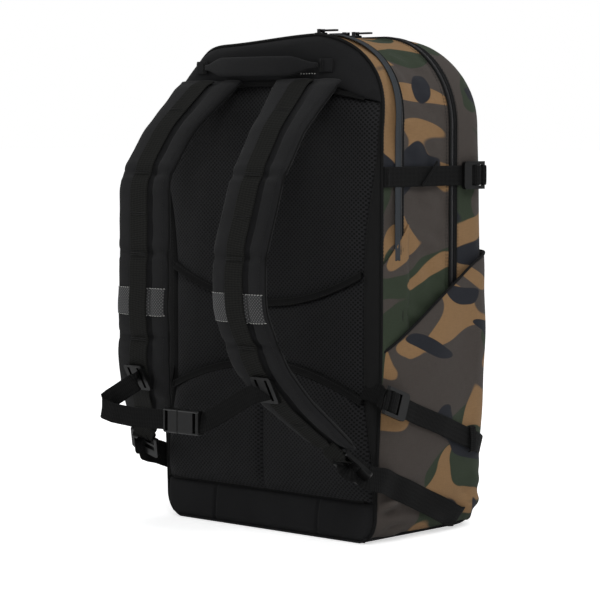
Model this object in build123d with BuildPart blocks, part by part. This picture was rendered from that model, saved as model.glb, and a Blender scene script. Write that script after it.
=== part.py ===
import os
from math import asin, atan2, cos, degrees, hypot, radians, sin, sqrt

from build123d import *

# A camouflage day backpack standing on its base. Millimetres, +Z up, the harness
# side faces -Y, and the origin is on the underside of the base.

# Body of the pack
pack_width = 300
pack_height = 500
pack_depth = 180
harness_y = -85
arch_radius = 90
foot_radius = 25
front_radius = 38
wall = 3
fit = 0.3
boot_height = 12
boot_band_height = 41
boot_band_thickness = 3.3

# Back panel
foam_thickness = 6
sheet_thickness = 2
sheet_inset = 6
pad_side_inset = 20
pad_thickness = 8
lumbar_thickness = 14
yoke_thickness = 6.7
border_thickness = 3
binding_width = 6
binding_thickness = 4.5
yoke_edge_z = 433
yoke_edge_rise = 19
upper_arc_z = 266
upper_arc_sag = 33
lumbar_arc_z = 140
lumbar_arc_rise = 31
pad_edge_radius = 3

# Zips
tape_half = 4.85
laptop_zip_y = -57
laptop_zip_half = 3
laptop_zip_bottom = 285
main_zip_y = 25
main_zip_bottom = 200
cover_gap_y = 8
cover_bottom = 290
divider_thickness = 4
pocket_zip_z = 248

# Pockets
pocket_gap = 6
pocket_wall = 2.5
pocket_floor_z = 8
pocket_rear_inset = 3
pocket_front_reach = 92
pocket_edge_rear_z = 192
pocket_edge_front_z = 282
pocket_edge_front_y = 68
front_pocket_width = 196
front_pocket_depth = 15
front_pocket_bottom = 70
front_pocket_top = 262
front_pocket_radius = 22

# Webbing and ladder locks
web = 1.6
narrow_web = 20
broad_web = 25
lock_thickness = 4
lock_rim = 4
bar_radius = 2
slot_length = 7
lock_bar = 4
lock_lip = 8
lock_nest = 1

# Shoulder straps
strap_thickness = 13
strap_spread = 66
strap_root_z = 455
strap_bend = 55
daisy_web = 24
daisy_thickness = 1.8
band_thickness = 0.8

# Sternum strap and its buckle
buckle_y = -210
buckle_z = 122
buckle_height = 24
buckle_thickness = 9
buckle_length = 28
socket_wall = 2
socket_depth = 17
prong_clearance = 0.4
male_length = 20
slider_plate = 26
sternum_x = 88

# Handle
handle_span = 160
handle_bow = 15
handle_width = 18
handle_thickness = 3.5
handle_z = 470
handle_end = 8
handle_neck = 2.9

# Zip sliders and their pulls
slider_length = 12
slider_width = 9
slider_height = 3.5
ear_thickness = 1.3
pin_radius = 0.8
pull_length = 22
pull_width = 4.4
pull_thickness = 1.8

front_y = harness_y + pack_depth
half_width = pack_width / 2
middle_y = (harness_y + front_y) / 2
panel_y = harness_y - fit
foam_front_y = harness_y + foam_thickness
sheet_y = foam_front_y + fit
gusset_y = foam_front_y + fit
cover_y = main_zip_y + cover_gap_y
far = 3 * pack_height

os.makedirs("parts", exist_ok=True)


def save(part, label):
    """Label a finished piece and write it."""
    part.label = label
    export_step(part, f"parts/{label}.step")


def save_pair(part, label):
    """Write a piece of the right side and its mirror image on the left."""
    save(part, f"{label}_right")
    save(mirror(part, about=Plane.YZ), f"{label}_left")


def y_plane(y):
    """Upright plane across the pack at this depth, its sketch y being Z."""
    return Plane.XZ.offset(-y)


def draw_arch(inset):
    """Front outline of the pack in the active sketch, drawn this far inside."""
    side = half_width - inset
    foot = foot_radius - inset
    shoulder = arch_radius - inset
    top = pack_height - inset
    with BuildLine() as outline:
        FilletPolyline(
            (-side, inset),
            (side, inset),
            (side, top),
            (-side, top),
            radius=[foot, foot, shoulder, shoulder],
            close=True,
        )
    make_face(outline.edges())


def draw_plan(growth):
    """Plan of the pack in the active sketch, grown outward by this much."""
    side = half_width + growth
    corner = front_radius + growth
    back = harness_y - growth
    front = front_y + growth
    with BuildLine() as outline:
        Line((-side, back), (side, back))
        Line((side, back), (side, front - corner))
        RadiusArc((side, front - corner), (side - corner, front), -corner)
        Line((side - corner, front), (corner - side, front))
        RadiusArc((corner - side, front), (-side, front - corner), -corner)
        Line((-side, front - corner), (-side, back))
    make_face(outline.edges())


def side_areas(*areas):
    """Faces over these (y0, y1, z0, z1) areas, seen from the side."""
    with BuildSketch(Plane.YZ) as region:
        for y0, y1, z0, z1 in areas:
            with Locations(((y0 + y1) / 2, (z0 + z1) / 2)):
                Rectangle(y1 - y0, z1 - z0)
    return region.sketch


def polygon(plane, *corners):
    """Face of a polygon drawn on this plane."""
    with BuildSketch(plane) as region:
        with BuildLine():
            Polyline(*corners, close=True)
        make_face()
    return region.sketch


def keep(face):
    """Keep what lies over this face, to both sides of it."""
    extrude(face, amount=far, both=True, mode=Mode.INTERSECT)


# The body of the pack as one block and its hollow. The sewn panels are cut from the
# wall between the two.
with BuildPart() as envelope:
    with BuildSketch(y_plane(front_y)):
        draw_arch(0)
    extrude(amount=pack_depth)
    with BuildSketch(Plane.XY):
        draw_plan(0)
    extrude(amount=far, mode=Mode.INTERSECT)

with BuildPart() as hollow:
    with BuildSketch(y_plane(front_y)):
        draw_arch(wall)
    extrude(amount=pack_depth)
    with BuildSketch(Plane.XY):
        draw_plan(-wall)
    extrude(amount=far, mode=Mode.INTERSECT)

with BuildPart() as shell:
    add(envelope.part)
    add(hollow.part, mode=Mode.SUBTRACT)
    keep(side_areas((gusset_y, front_y, 0, pack_height)))


# Base, back panel and the parts of the wall.
with BuildPart() as base_boot:
    add(envelope.part)
    add(hollow.part, mode=Mode.SUBTRACT)
    keep(side_areas((harness_y, front_y, 0, boot_height)))
    with BuildSketch(y_plane(harness_y)):
        draw_arch(0)
    extrude(amount=boot_band_thickness)
    keep(side_areas((harness_y - boot_band_thickness, harness_y, 0, boot_band_height),
                    (harness_y, front_y, 0, boot_height)))
save(base_boot.part, "base_boot")

with BuildPart() as back_foam:
    with BuildSketch(y_plane(foam_front_y)):
        draw_arch(0)
    extrude(amount=foam_thickness)
    keep(side_areas((harness_y, foam_front_y, boot_height + fit, pack_height)))
save(back_foam.part, "back_foam")

with BuildPart() as frame_sheet:
    with BuildSketch(y_plane(sheet_y + sheet_thickness)):
        draw_arch(sheet_inset)
    extrude(amount=sheet_thickness)
save(frame_sheet.part, "frame_sheet")

laptop_zip_rear_y = laptop_zip_y - laptop_zip_half
laptop_zip_front_y = laptop_zip_y + laptop_zip_half
with BuildPart() as laptop_gusset:
    add(shell.part)
    keep(side_areas((gusset_y, laptop_zip_rear_y - fit, boot_height + fit, pack_height)))
save(laptop_gusset.part, "laptop_gusset")

with BuildPart() as laptop_zip:
    add(shell.part)
    keep(side_areas((laptop_zip_rear_y, laptop_zip_front_y, laptop_zip_bottom, pack_height)))
save(laptop_zip.part, "laptop_zip")

with BuildPart() as main_gusset:
    add(shell.part)
    keep(side_areas(
        (laptop_zip_front_y + fit, main_zip_y - tape_half - fit, boot_height + fit, pack_height),
        (laptop_zip_rear_y, laptop_zip_front_y + 1, boot_height + fit, laptop_zip_bottom - fit),
        (laptop_zip_front_y + 1, main_zip_y - fit / 2, boot_height + fit, main_zip_bottom - fit),
    ))
save(main_gusset.part, "main_gusset")

with BuildPart() as laptop_divider:
    with BuildSketch(y_plane(laptop_zip_front_y + fit + divider_thickness)):
        draw_arch(wall + fit)
    extrude(amount=divider_thickness)
save(laptop_divider.part, "laptop_divider")

with BuildPart() as main_zip_rear:
    add(shell.part)
    keep(side_areas((main_zip_y - tape_half, main_zip_y - fit / 2, main_zip_bottom, pack_height)))
save(main_zip_rear.part, "main_zip_rear")

with BuildPart() as main_zip_front:
    add(shell.part)
    keep(side_areas((main_zip_y + fit / 2, cover_y - fit, cover_bottom + fit, pack_height)))
save(main_zip_front.part, "main_zip_front")

with BuildPart() as front_cover:
    add(shell.part)
    keep(side_areas((cover_y, front_y, cover_bottom + fit, pack_height)))
save(front_cover.part, "front_cover")

with BuildPart() as front_lower_panel:
    add(shell.part)
    keep(side_areas((main_zip_y + fit / 2, front_y, boot_height + fit, cover_bottom - fit)))
save(front_lower_panel.part, "front_lower_panel")


# Padding of the back panel.
pad_half = half_width - pad_side_inset
arc_gap = binding_width + 2 * fit


def draw_edge(half, z, rise):
    """An edge across a pad, rising by this much at the middle."""
    if rise:
        ThreePointArc((-half, z), (0, z + rise), (half, z))
    else:
        Line((-half, z), (half, z))


def draw_pad(half, bottom_z, bottom_rise, top_z, top_rise):
    """A pad outline between two edges, each with its own rise at the middle."""
    with BuildLine() as outline:
        draw_edge(half, bottom_z, bottom_rise)
        Line((half, bottom_z), (half, top_z))
        draw_edge(half, top_z, top_rise)
        Line((-half, top_z), (-half, bottom_z))
    make_face(outline.edges())


def soften(part, radius):
    """Round the outer edge of a pad, on the side that faces the wearer."""
    fillet(part.faces().sort_by(Axis.Y)[0].edges(), radius)


with BuildPart() as mesh_pad_upper:
    with BuildSketch(y_plane(panel_y)):
        draw_pad(pad_half, upper_arc_z + arc_gap / 2, -upper_arc_sag,
                 yoke_edge_z - fit, yoke_edge_rise)
    extrude(amount=pad_thickness)
    soften(mesh_pad_upper, pad_edge_radius)
save(mesh_pad_upper.part, "mesh_pad_upper")

with BuildPart() as mesh_pad_middle:
    with BuildSketch(y_plane(panel_y)):
        draw_pad(pad_half, lumbar_arc_z + arc_gap / 2, lumbar_arc_rise,
                 upper_arc_z - arc_gap / 2, -upper_arc_sag)
    extrude(amount=pad_thickness)
    soften(mesh_pad_middle, pad_edge_radius)
save(mesh_pad_middle.part, "mesh_pad_middle")

with BuildPart() as mesh_pad_lower:
    with BuildSketch(y_plane(panel_y)):
        draw_pad(pad_half, boot_band_height + fit, 0,
                 lumbar_arc_z - arc_gap / 2, lumbar_arc_rise)
    extrude(amount=lumbar_thickness)
    soften(mesh_pad_lower, lumbar_thickness / 2)
save(mesh_pad_lower.part, "mesh_pad_lower")

with BuildPart() as panel_bindings:
    for arc_z, rise in ((upper_arc_z, -upper_arc_sag), (lumbar_arc_z, lumbar_arc_rise)):
        with BuildSketch(y_plane(panel_y)):
            draw_pad(pad_half, arc_z - binding_width / 2, rise, arc_z + binding_width / 2, rise)
        extrude(amount=binding_thickness)
save(panel_bindings.part, "panel_bindings")

with BuildPart() as yoke_panel:
    with BuildSketch(y_plane(panel_y)):
        draw_arch(fit)
    extrude(amount=yoke_thickness)
    with BuildSketch(y_plane(panel_y)):
        draw_pad(pad_half, 0, 0, yoke_edge_z, yoke_edge_rise)
    extrude(amount=yoke_thickness, mode=Mode.SUBTRACT)
    keep(side_areas((-far, far, yoke_edge_z, pack_height)))
save(yoke_panel.part, "yoke_panel")

with BuildPart() as back_border:
    with BuildSketch(y_plane(panel_y)):
        draw_arch(fit)
        with Locations((0, pack_height / 2)):
            Rectangle(2 * (pad_half + fit), pack_height, mode=Mode.SUBTRACT)
    extrude(amount=border_thickness)
    keep(side_areas((-far, far, boot_band_height + fit, yoke_edge_z - fit)))
save(back_border.part, "back_border")


# Pockets.
pocket_outer = half_width + pocket_gap + pocket_wall
edge_slope = (pocket_edge_front_z - pocket_edge_rear_z) / (pocket_edge_front_y - harness_y)
with BuildPart() as side_pocket:
    with BuildSketch(Plane.XY.offset(pocket_floor_z)):
        draw_plan(pocket_gap + pocket_wall)
        with Locations((half_width, middle_y)):
            Rectangle(2 * front_radius, far, mode=Mode.INTERSECT)
    extrude(amount=cover_bottom - pocket_floor_z)
    with BuildSketch(Plane.XY.offset(pocket_floor_z + pocket_wall)):
        draw_plan(pocket_gap)
        with Locations((half_width, middle_y)):
            Rectangle(2 * (front_radius - pocket_wall), pack_depth - 4 * pocket_wall, mode=Mode.INTERSECT)
    extrude(amount=far, mode=Mode.SUBTRACT)
    keep(polygon(
        Plane.YZ,
        (harness_y + pocket_rear_inset, 0),
        (pocket_front_reach, 0),
        (pocket_front_reach, pocket_edge_front_z),
        (pocket_edge_front_y, pocket_edge_front_z),
        (harness_y + pocket_rear_inset, pocket_edge_rear_z + pocket_rear_inset * edge_slope),
    ))
    with BuildSketch(y_plane(front_y + fit)):
        draw_arch(-fit)
    extrude(amount=pack_depth + 2 * fit, mode=Mode.SUBTRACT)
save_pair(side_pocket.part, "side_pocket")

front_pocket_middle_z = (front_pocket_bottom + front_pocket_top) / 2
front_pocket_height = front_pocket_top - front_pocket_bottom
with BuildPart() as front_pocket:
    with BuildSketch(y_plane(front_y + fit + front_pocket_depth)):
        with Locations((0, front_pocket_middle_z)):
            RectangleRounded(front_pocket_width, front_pocket_height, front_pocket_radius)
    extrude(amount=front_pocket_depth)
    with BuildSketch(y_plane(front_y + fit + front_pocket_depth - pocket_wall)):
        with Locations((0, front_pocket_middle_z)):
            RectangleRounded(
                front_pocket_width - 2 * pocket_wall,
                front_pocket_height - 2 * pocket_wall,
                front_pocket_radius - pocket_wall,
            )
    extrude(amount=front_pocket_depth, mode=Mode.SUBTRACT)
save(front_pocket.part, "front_pocket")

zip_face_y = front_y + 2 * fit + front_pocket_depth
with BuildPart() as front_pocket_zip:
    with BuildSketch(y_plane(zip_face_y + web)):
        with Locations((0, pocket_zip_z)):
            Rectangle(front_pocket_width - 2 * front_pocket_radius, 2 * laptop_zip_half)
    extrude(amount=web)
save(front_pocket_zip.part, "front_pocket_zip")


# Ladder locks and webbing. A lock lies in its own plane: x runs along the webbing from
# the round bar that it turns on, y along that bar, z out of its face.
def lock_length():
    """From the axis of the round bar to the tip of the lip."""
    return bar_radius + 2 * slot_length + 2 * lock_bar + lock_lip


def ladder_lock(plane, webbing):
    """A moulded lock with a round bar, two slots and a thumb lip."""
    width = webbing + 2 * lock_rim
    with BuildPart() as lock:
        with BuildSketch(plane):
            with Locations((lock_length() / 2, 0)):
                Rectangle(lock_length(), width)
            for slot in (0, 1):
                start = bar_radius + slot * (slot_length + lock_bar)
                with Locations((start + slot_length / 2, 0)):
                    Rectangle(slot_length, webbing + 1, mode=Mode.SUBTRACT)
            with Locations((bar_radius / 2, 0)):
                Rectangle(bar_radius, webbing + 1, mode=Mode.SUBTRACT)
        extrude(amount=lock_thickness / 2, both=True)
        upright_edges = lock.edges().filter_by(Axis(plane.origin, plane.z_dir))
        fillet(upright_edges.group_by(Axis(plane.origin, plane.x_dir))[-1], 4)
        with BuildSketch(Plane(plane.origin, x_dir=plane.x_dir, z_dir=plane.y_dir)):
            Circle(bar_radius)
        extrude(amount=width / 2, both=True)
    return lock.part


def web_loop(plane, webbing, tail, turn, tail_thickness=2 * web):
    """Webbing doubled round the bar of a lock, its tail turned inward by this angle."""
    inner = bar_radius + fit
    across = Plane(plane.origin, x_dir=plane.x_dir, z_dir=-plane.y_dir)
    with BuildPart() as loop:
        with BuildSketch(across):
            with Locations(Rotation(0, 0, turn)):
                with Locations((-tail / 2, 0)):
                    Rectangle(tail, tail_thickness)
            Circle(inner + web)
            Circle(inner, mode=Mode.SUBTRACT)
        extrude(amount=webbing / 2, both=True)
    return loop.part


# Upper side strap: from the harness seam over the main zip to a lock at the front corner.
upper_strap_z = 361
upper_lock_y = 68
upper_lock_x = half_width + 4.5
reach_x = upper_lock_x - (half_width - front_radius)
reach_y = upper_lock_y - (front_y - front_radius)
tail_radius = front_radius + fit + web
upper_turn = 90 + degrees(atan2(reach_y, reach_x) - asin(tail_radius / hypot(reach_x, reach_y)))
upper_tail = sqrt(reach_x**2 + reach_y**2 - tail_radius**2) + web
upper_lock_plane = Plane((upper_lock_x, upper_lock_y, upper_strap_z), x_dir=(0, -1, 0), z_dir=(1, 0, 0))
save_pair(ladder_lock(upper_lock_plane, narrow_web), "side_ladder_upper")
save_pair(web_loop(upper_lock_plane, narrow_web, upper_tail, upper_turn), "side_tab_upper")

with BuildPart() as side_strap_upper:
    with BuildSketch(Plane.YZ.offset(half_width + fit)):
        rear = harness_y + pocket_rear_inset
        front = upper_lock_y - lock_length() + lock_lip
        with Locations(((rear + front) / 2, upper_strap_z)):
            Rectangle(front - rear, narrow_web)
    extrude(amount=web)
save_pair(side_strap_upper.part, "side_strap_upper")


# Lower side strap: from a lock over the harness seam, down across the side pocket.
lower_slope = -20
lower_lock_z = 146
lower_strap_x = pocket_outer + fit
lower_lock_x = lower_strap_x + web + fit + bar_radius + fit + web - lock_nest
lower_lean = radians(lower_slope)
lower_lock_y = panel_y - border_thickness - fit - web * cos(lower_lean) + narrow_web / 2 * sin(lower_lean)
slope = (0, cos(lower_lean), sin(lower_lean))
lower_lock_plane = Plane((lower_lock_x, lower_lock_y, lower_lock_z), x_dir=slope, z_dir=(1, 0, 0))
lower_tail = lower_lock_x - pad_half - 2 * fit
save_pair(ladder_lock(lower_lock_plane, narrow_web), "side_ladder_lower")
save_pair(web_loop(lower_lock_plane, narrow_web, lower_tail, 90), "side_tab_lower")


def on_slope(y, shift):
    """Height of the lower side strap at this depth, shifted across the strap."""
    rise = (y - lower_lock_y) * slope[2] / slope[1]
    return lower_lock_z + rise + shift / slope[1]


lower_strap_start = lower_lock_y + 3 * bar_radius + 2 * web
with BuildPart() as side_strap_lower:
    with BuildSketch(Plane.XY):
        draw_plan(pocket_gap + pocket_wall + fit + web)
        with BuildSketch(mode=Mode.PRIVATE) as inside:
            draw_plan(pocket_gap + pocket_wall + fit)
        add(inside.sketch, mode=Mode.SUBTRACT)
        with Locations((half_width, middle_y)):
            Rectangle(2 * front_radius, far, mode=Mode.INTERSECT)
    extrude(amount=pack_height)
    start = lower_strap_start
    end = pocket_front_reach
    half = narrow_web / 2
    keep(polygon(Plane.YZ, (start, on_slope(start, -half)), (end, on_slope(end, -half)),
                 (end, on_slope(end, half)), (start, on_slope(start, half))))
save_pair(side_strap_lower.part, "side_strap_lower")


# Shoulder straps. The middle line of a strap runs from the axis of its root, which
# bends at the yoke seam, out over the shoulder and back in to the lock.
root_y = panel_y - yoke_thickness - fit - strap_thickness / 2
strap_side_points = [
    (root_y, strap_root_z),
    (-152, 405),
    (-184, 359),
    (-196.5, 283),
    (-196.5, 232),
    (-183, 178),
    (-164, 144),
    (-138, 113),
    (-128, 101),
]
# Middle of the strap and its width across, at each height.
strap_front_points = [
    (strap_root_z + strap_thickness, strap_spread, 90),
    (425, 72, 72),
    (361, 76, 68),
    (283, 66, 68),
    (237, 67, 67),
    (180, 81, 66),
    (144, 100, 58),
    (113, 123, 46),
    (97, 135, 38),
]
strap_end_y, strap_end_z = strap_side_points[-1]
before_end_y, before_end_z = strap_side_points[-2]
low_x, low_z = strap_front_points[-1][1], strap_front_points[-1][0]
above_x, above_z = strap_front_points[-2][1], strap_front_points[-2][0]
strap_end_x = above_x + (low_x - above_x) * (strap_end_z - above_z) / (low_z - above_z)
strap_run = Vector(
    (low_x - above_x) / (low_z - above_z) * (strap_end_z - before_end_z),
    strap_end_y - before_end_y,
    strap_end_z - before_end_z,
).normalized()
strap_normal = strap_run.cross(Vector(1, 0, 0)).normalized()
outside = (
    *strap_side_points,
    (strap_end_y + far * strap_normal.Y, strap_end_z + far * strap_normal.Z),
    (-far, strap_root_z),
)


def strap_layer(low, high):
    """Side view of a layer outside the strap, between these distances from its middle."""
    with BuildSketch(Plane.YZ) as layer:
        with BuildLine():
            FilletPolyline(*strap_side_points, radius=strap_bend)
            offset(amount=high, side=Side.BOTH)
        make_face()
        if low:
            with BuildSketch(Plane.YZ, mode=Mode.PRIVATE) as core:
                with BuildLine():
                    FilletPolyline(*strap_side_points, radius=strap_bend)
                    offset(amount=low, side=Side.BOTH)
                make_face()
            add(core.sketch_local, mode=Mode.SUBTRACT)
            add(polygon(Plane.XY, *outside), mode=Mode.INTERSECT)
    return layer.sketch


def strap_edge(share, least, side):
    """Points along one edge of a strap, square to its middle line."""
    points = []
    last = len(strap_front_points) - 1
    for i, (z, x, width) in enumerate(strap_front_points):
        z0, x0, _ = strap_front_points[max(i - 1, 0)]
        z1, x1, _ = strap_front_points[min(i + 1, last)]
        run = hypot(x1 - x0, z1 - z0)
        half = side * max(share * width, least) / 2
        points.append((x + half * (z0 - z1) / run, z + half * (x1 - x0) / run))
    return points


def strap_outline(share, least):
    """Front view of the strap, this share of its width but no narrower than least."""
    inner = strap_edge(share, least, -1)
    outer = strap_edge(share, least, 1)
    with BuildSketch(Plane.XZ) as outline:
        with BuildLine():
            Spline(*inner)
            Spline(*outer)
            Line(inner[0], outer[0])
            Line(inner[-1], outer[-1])
        make_face()
    return outline.sketch


with BuildPart() as shoulder_strap:
    extrude(strap_layer(0, strap_thickness / 2), amount=pack_width)
    keep(strap_outline(1, 0))
save_pair(shoulder_strap.part, "shoulder_strap")

daisy_low = strap_thickness / 2 + fit
daisy_high = daisy_low + daisy_thickness
web_end = Vector(strap_end_x, strap_end_y, strap_end_z)
web_end += strap_normal * (daisy_low + daisy_high) / 2
shoulder_tail = 9
shoulder_lock_plane = Plane(
    web_end + strap_run * shoulder_tail, x_dir=strap_run, z_dir=strap_normal
)
with BuildPart() as daisy_webbing:
    extrude(strap_layer(daisy_low, daisy_high), amount=pack_width)
    keep(strap_outline(0, daisy_web))
    add(web_loop(shoulder_lock_plane, daisy_web, shoulder_tail + lock_lip, 0, daisy_thickness))
save_pair(daisy_webbing.part, "daisy_webbing")
save_pair(ladder_lock(shoulder_lock_plane, daisy_web), "shoulder_ladder")

band_low = daisy_high + fit
with BuildPart() as reflective_band:
    extrude(strap_layer(band_low, band_low + band_thickness), amount=pack_width)
    with BuildSketch(Plane.XZ) as patch:
        with Locations((strap_spread + 1, 237)):
            Rectangle(daisy_web + 6, 25)
    keep(patch.sketch)
save_pair(reflective_band.part, "reflective_band")


# Lower webbing of a shoulder strap: from its lock to the side pocket and down along it.
lock_middle = shoulder_lock_plane.origin + strap_run * lock_length() / 2
lock_tip = shoulder_lock_plane.origin + strap_run * (lock_length() + 4)
lower_web_x = pocket_outer + fit + web / 2
lower_web_slope = -0.42
lower_web_end_y = 54
with BuildPart() as lower_webbing:
    with BuildSketch(Plane.XY):
        with BuildLine():
            FilletPolyline(
                (lock_tip.X, lock_tip.Y),
                (lower_web_x, harness_y - 4),
                (lower_web_x, lower_web_end_y),
                radius=8,
            )
            offset(amount=web / 2, side=Side.BOTH)
        make_face()
    extrude(amount=pack_height)
    half = broad_web / 2 / cos(atan2(lower_web_slope, 1))
    start = lock_tip.Y - web
    end = lower_web_end_y + web
    high = lock_middle.Z + lower_web_slope * (start - lock_middle.Y)
    low = lock_middle.Z + lower_web_slope * (end - lock_middle.Y)
    keep(polygon(Plane.YZ, (start, high - half), (end, low - half), (end, low + half), (start, high + half)))
    keep(side_areas((-far, far, pocket_floor_z, far)))
save_pair(lower_webbing.part, "lower_webbing")


# Sternum strap: a slider on each shoulder strap, and webbing to the two buckle halves.
slider_low = daisy_high + fit
slider_high = slider_low + lock_thickness
sternum_z = 157
with BuildPart() as sternum_slider:
    extrude(strap_layer(slider_low, slider_high), amount=pack_width)
    with BuildSketch(Plane.XZ) as plate:
        with Locations((sternum_x, sternum_z)):
            RectangleRounded(slider_plate, slider_plate, 3)
        with Locations((sternum_x - slider_plate / 4, sternum_z), (sternum_x + slider_plate / 4, sternum_z)):
            Rectangle(2 * web, narrow_web + 1, mode=Mode.SUBTRACT)
    keep(plate.sketch)
save_pair(sternum_slider.part, "sternum_slider")

buckle_split = -2
female_end = buckle_split + buckle_length
male_end = buckle_split - male_length
sternum_start = sternum_x - slider_plate / 2 - 4 * fit
sternum_y = -187
half_web = narrow_web / 2
with BuildPart() as sternum_web_right:
    with BuildSketch(Plane.XY):
        with BuildLine():
            Line((sternum_start, sternum_y), (female_end + fit + web / 2, buckle_y))
            offset(amount=web / 2, side=Side.BOTH)
        make_face()
    extrude(amount=pack_height)
    keep(polygon(Plane.XZ, (0, buckle_z - half_web), (female_end + 8, buckle_z - half_web),
                 (sternum_start + web, sternum_z - half_web), (sternum_start + web, sternum_z + half_web),
                 (female_end + 8, buckle_z + half_web), (0, buckle_z + half_web)))
save(sternum_web_right.part, "sternum_web_right")

slack_x = -104
with BuildPart() as sternum_web_left:
    with BuildSketch(Plane.XY):
        with BuildLine():
            FilletPolyline(
                (-sternum_start, sternum_y - 6),
                (slack_x, -206),
                (slack_x, -222),
                (-62, -218),
                (male_end - fit - web / 2, buckle_y),
                radius=6,
            )
            offset(amount=web / 2, side=Side.BOTH)
        make_face()
    extrude(amount=pack_height)
    keep(polygon(Plane.XZ, (male_end, buckle_z - half_web), (slack_x - web, buckle_z - half_web),
                 (slack_x - web, sternum_z - 4), (-sternum_start + web, sternum_z + half_web),
                 (-sternum_start + web, sternum_z - half_web), (-62, buckle_z + half_web),
                 (male_end, buckle_z + half_web)))
save(sternum_web_left.part, "sternum_web_left")


def buckle_block(x0, x1):
    """Rounded outer block of a buckle half between these places on its axis."""
    with BuildPart() as block:
        with Locations(((x0 + x1) / 2, buckle_y, buckle_z)):
            Box(x1 - x0, buckle_thickness, buckle_height)
        fillet(block.edges().filter_by(Axis.X), 2.6)
        fillet(block.faces().sort_by(Axis.X)[0].edges() + block.faces().sort_by(Axis.X)[-1].edges(), 1)
    return block.part


bar_slot_z = buckle_height - 2 * socket_wall
socket_y = buckle_thickness - 2 * socket_wall
with BuildPart() as buckle_female:
    add(buckle_block(buckle_split, female_end))
    with Locations((buckle_split + socket_depth / 2, buckle_y, buckle_z)):
        Box(socket_depth, socket_y, bar_slot_z, mode=Mode.SUBTRACT)
    with Locations((buckle_split + 0.6 * socket_depth, buckle_y, buckle_z)):
        Box(0.4 * socket_depth, socket_y - 1, 2 * buckle_height, mode=Mode.SUBTRACT)
    with Locations((female_end - 5, buckle_y, buckle_z)):
        Box(4, 2 * buckle_thickness, bar_slot_z, mode=Mode.SUBTRACT)
save(buckle_female.part, "buckle_female")

prong_length = socket_depth - 1
prong_y = socket_y - 2 * prong_clearance
arm_height = 3.6
arm_z = bar_slot_z / 2 - prong_clearance - arm_height / 2
with BuildPart() as buckle_male:
    add(buckle_block(male_end, buckle_split - prong_clearance))
    with Locations((male_end + 5, buckle_y, buckle_z)):
        Box(4, 2 * buckle_thickness, bar_slot_z, mode=Mode.SUBTRACT)
    prong_start = buckle_split - 2
    prong_end = buckle_split + prong_length
    for z in (-arm_z, 0, arm_z):
        with Locations(((prong_start + prong_end) / 2, buckle_y, buckle_z + z)):
            Box(prong_end - prong_start, prong_y, arm_height)
save(buckle_male.part, "buckle_male")


# Grab handle: a bow of padded webbing whose rolled ends turn against the yoke.
handle_y = panel_y - yoke_thickness - fit - handle_thickness
bow_half = handle_span / 2 - handle_end
with BuildPart() as grab_handle:
    with BuildSketch(Plane.XY.offset(handle_z - handle_width)):
        with BuildLine():
            ThreePointArc((-bow_half, handle_y), (0, handle_y - handle_bow), (bow_half, handle_y))
            offset(amount=handle_thickness / 2, side=Side.BOTH)
        make_face()
    extrude(amount=2 * handle_width)
    taper_start, taper_end = 0.48 * bow_half, 0.83 * bow_half
    corners = [(handle_span, handle_neck), (taper_end, handle_neck), (taper_start, handle_width / 2)]
    upper = [(x, handle_z + z) for x, z in corners] + [(-x, handle_z + z) for x, z in reversed(corners)]
    lower = [(x, 2 * handle_z - z) for x, z in reversed(upper)]
    keep(polygon(Plane.XZ, *upper, *lower))
    for side in (-1, 1):
        with BuildSketch(Plane.YZ.offset(side * (handle_span - handle_end) / 2 - handle_end / 2)):
            with Locations((handle_y, handle_z)):
                Circle(handle_thickness)
        extrude(amount=handle_end)
save(grab_handle.part, "grab_handle")


# Zip sliders and pulls. In the plane of a slider, x points along the resting pull, y
# along the pin and z out of the zip.
pin_z = fit + slider_height + fit + 2 * pin_radius + 0.1
ear_gap = pull_width + 2 * fit


def zip_slider(plane):
    """Slider body with two ears and the pin that carries the pull."""
    with BuildPart() as slider:
        with BuildSketch(plane.offset(fit)):
            RectangleRounded(slider_length, slider_width, 2.5)
        extrude(amount=slider_height)
        fillet(slider.faces().sort_by(Axis(plane.origin, plane.z_dir))[-1].edges(), 0.8)
        with BuildSketch(plane.offset(fit + slider_height / 2)):
            for side in (-1, 1):
                with Locations((0, side * (ear_gap + ear_thickness) / 2)):
                    Rectangle(4, ear_thickness)
        extrude(amount=pin_z + 2 * pin_radius - fit - slider_height / 2)
        across = Plane(plane.origin + plane.z_dir * pin_z, x_dir=plane.x_dir, z_dir=plane.y_dir)
        with BuildSketch(across):
            Circle(pin_radius)
        extrude(amount=ear_gap / 2 + ear_thickness, both=True)
    return slider.part


def zip_pull(plane):
    """Flat pull with a round eye on the pin."""
    lifted = Plane(plane.origin + plane.z_dir * pin_z, x_dir=plane.x_dir, z_dir=plane.z_dir)
    across = Plane(lifted.origin, x_dir=plane.x_dir, z_dir=plane.y_dir)
    with BuildPart() as pull:
        with BuildSketch(lifted):
            with Locations((pull_length / 4, 0)):
                Rectangle(pull_length / 2, pull_width)
            with Locations((0.6 * pull_length, 0)):
                SlotOverall(0.8 * pull_length, 1.6 * pull_width)
            with Locations((0.7 * pull_length, 0)):
                SlotOverall(0.4 * pull_length, 0.6 * pull_width, mode=Mode.SUBTRACT)
        extrude(amount=pull_thickness / 2, both=True)
        with BuildSketch(across):
            Circle(2 * pin_radius)
        extrude(amount=pull_width / 2, both=True)
        with BuildSketch(across):
            Circle(pin_radius + fit / 1.5)
        extrude(amount=pull_width, both=True, mode=Mode.SUBTRACT)
    return pull.part


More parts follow.
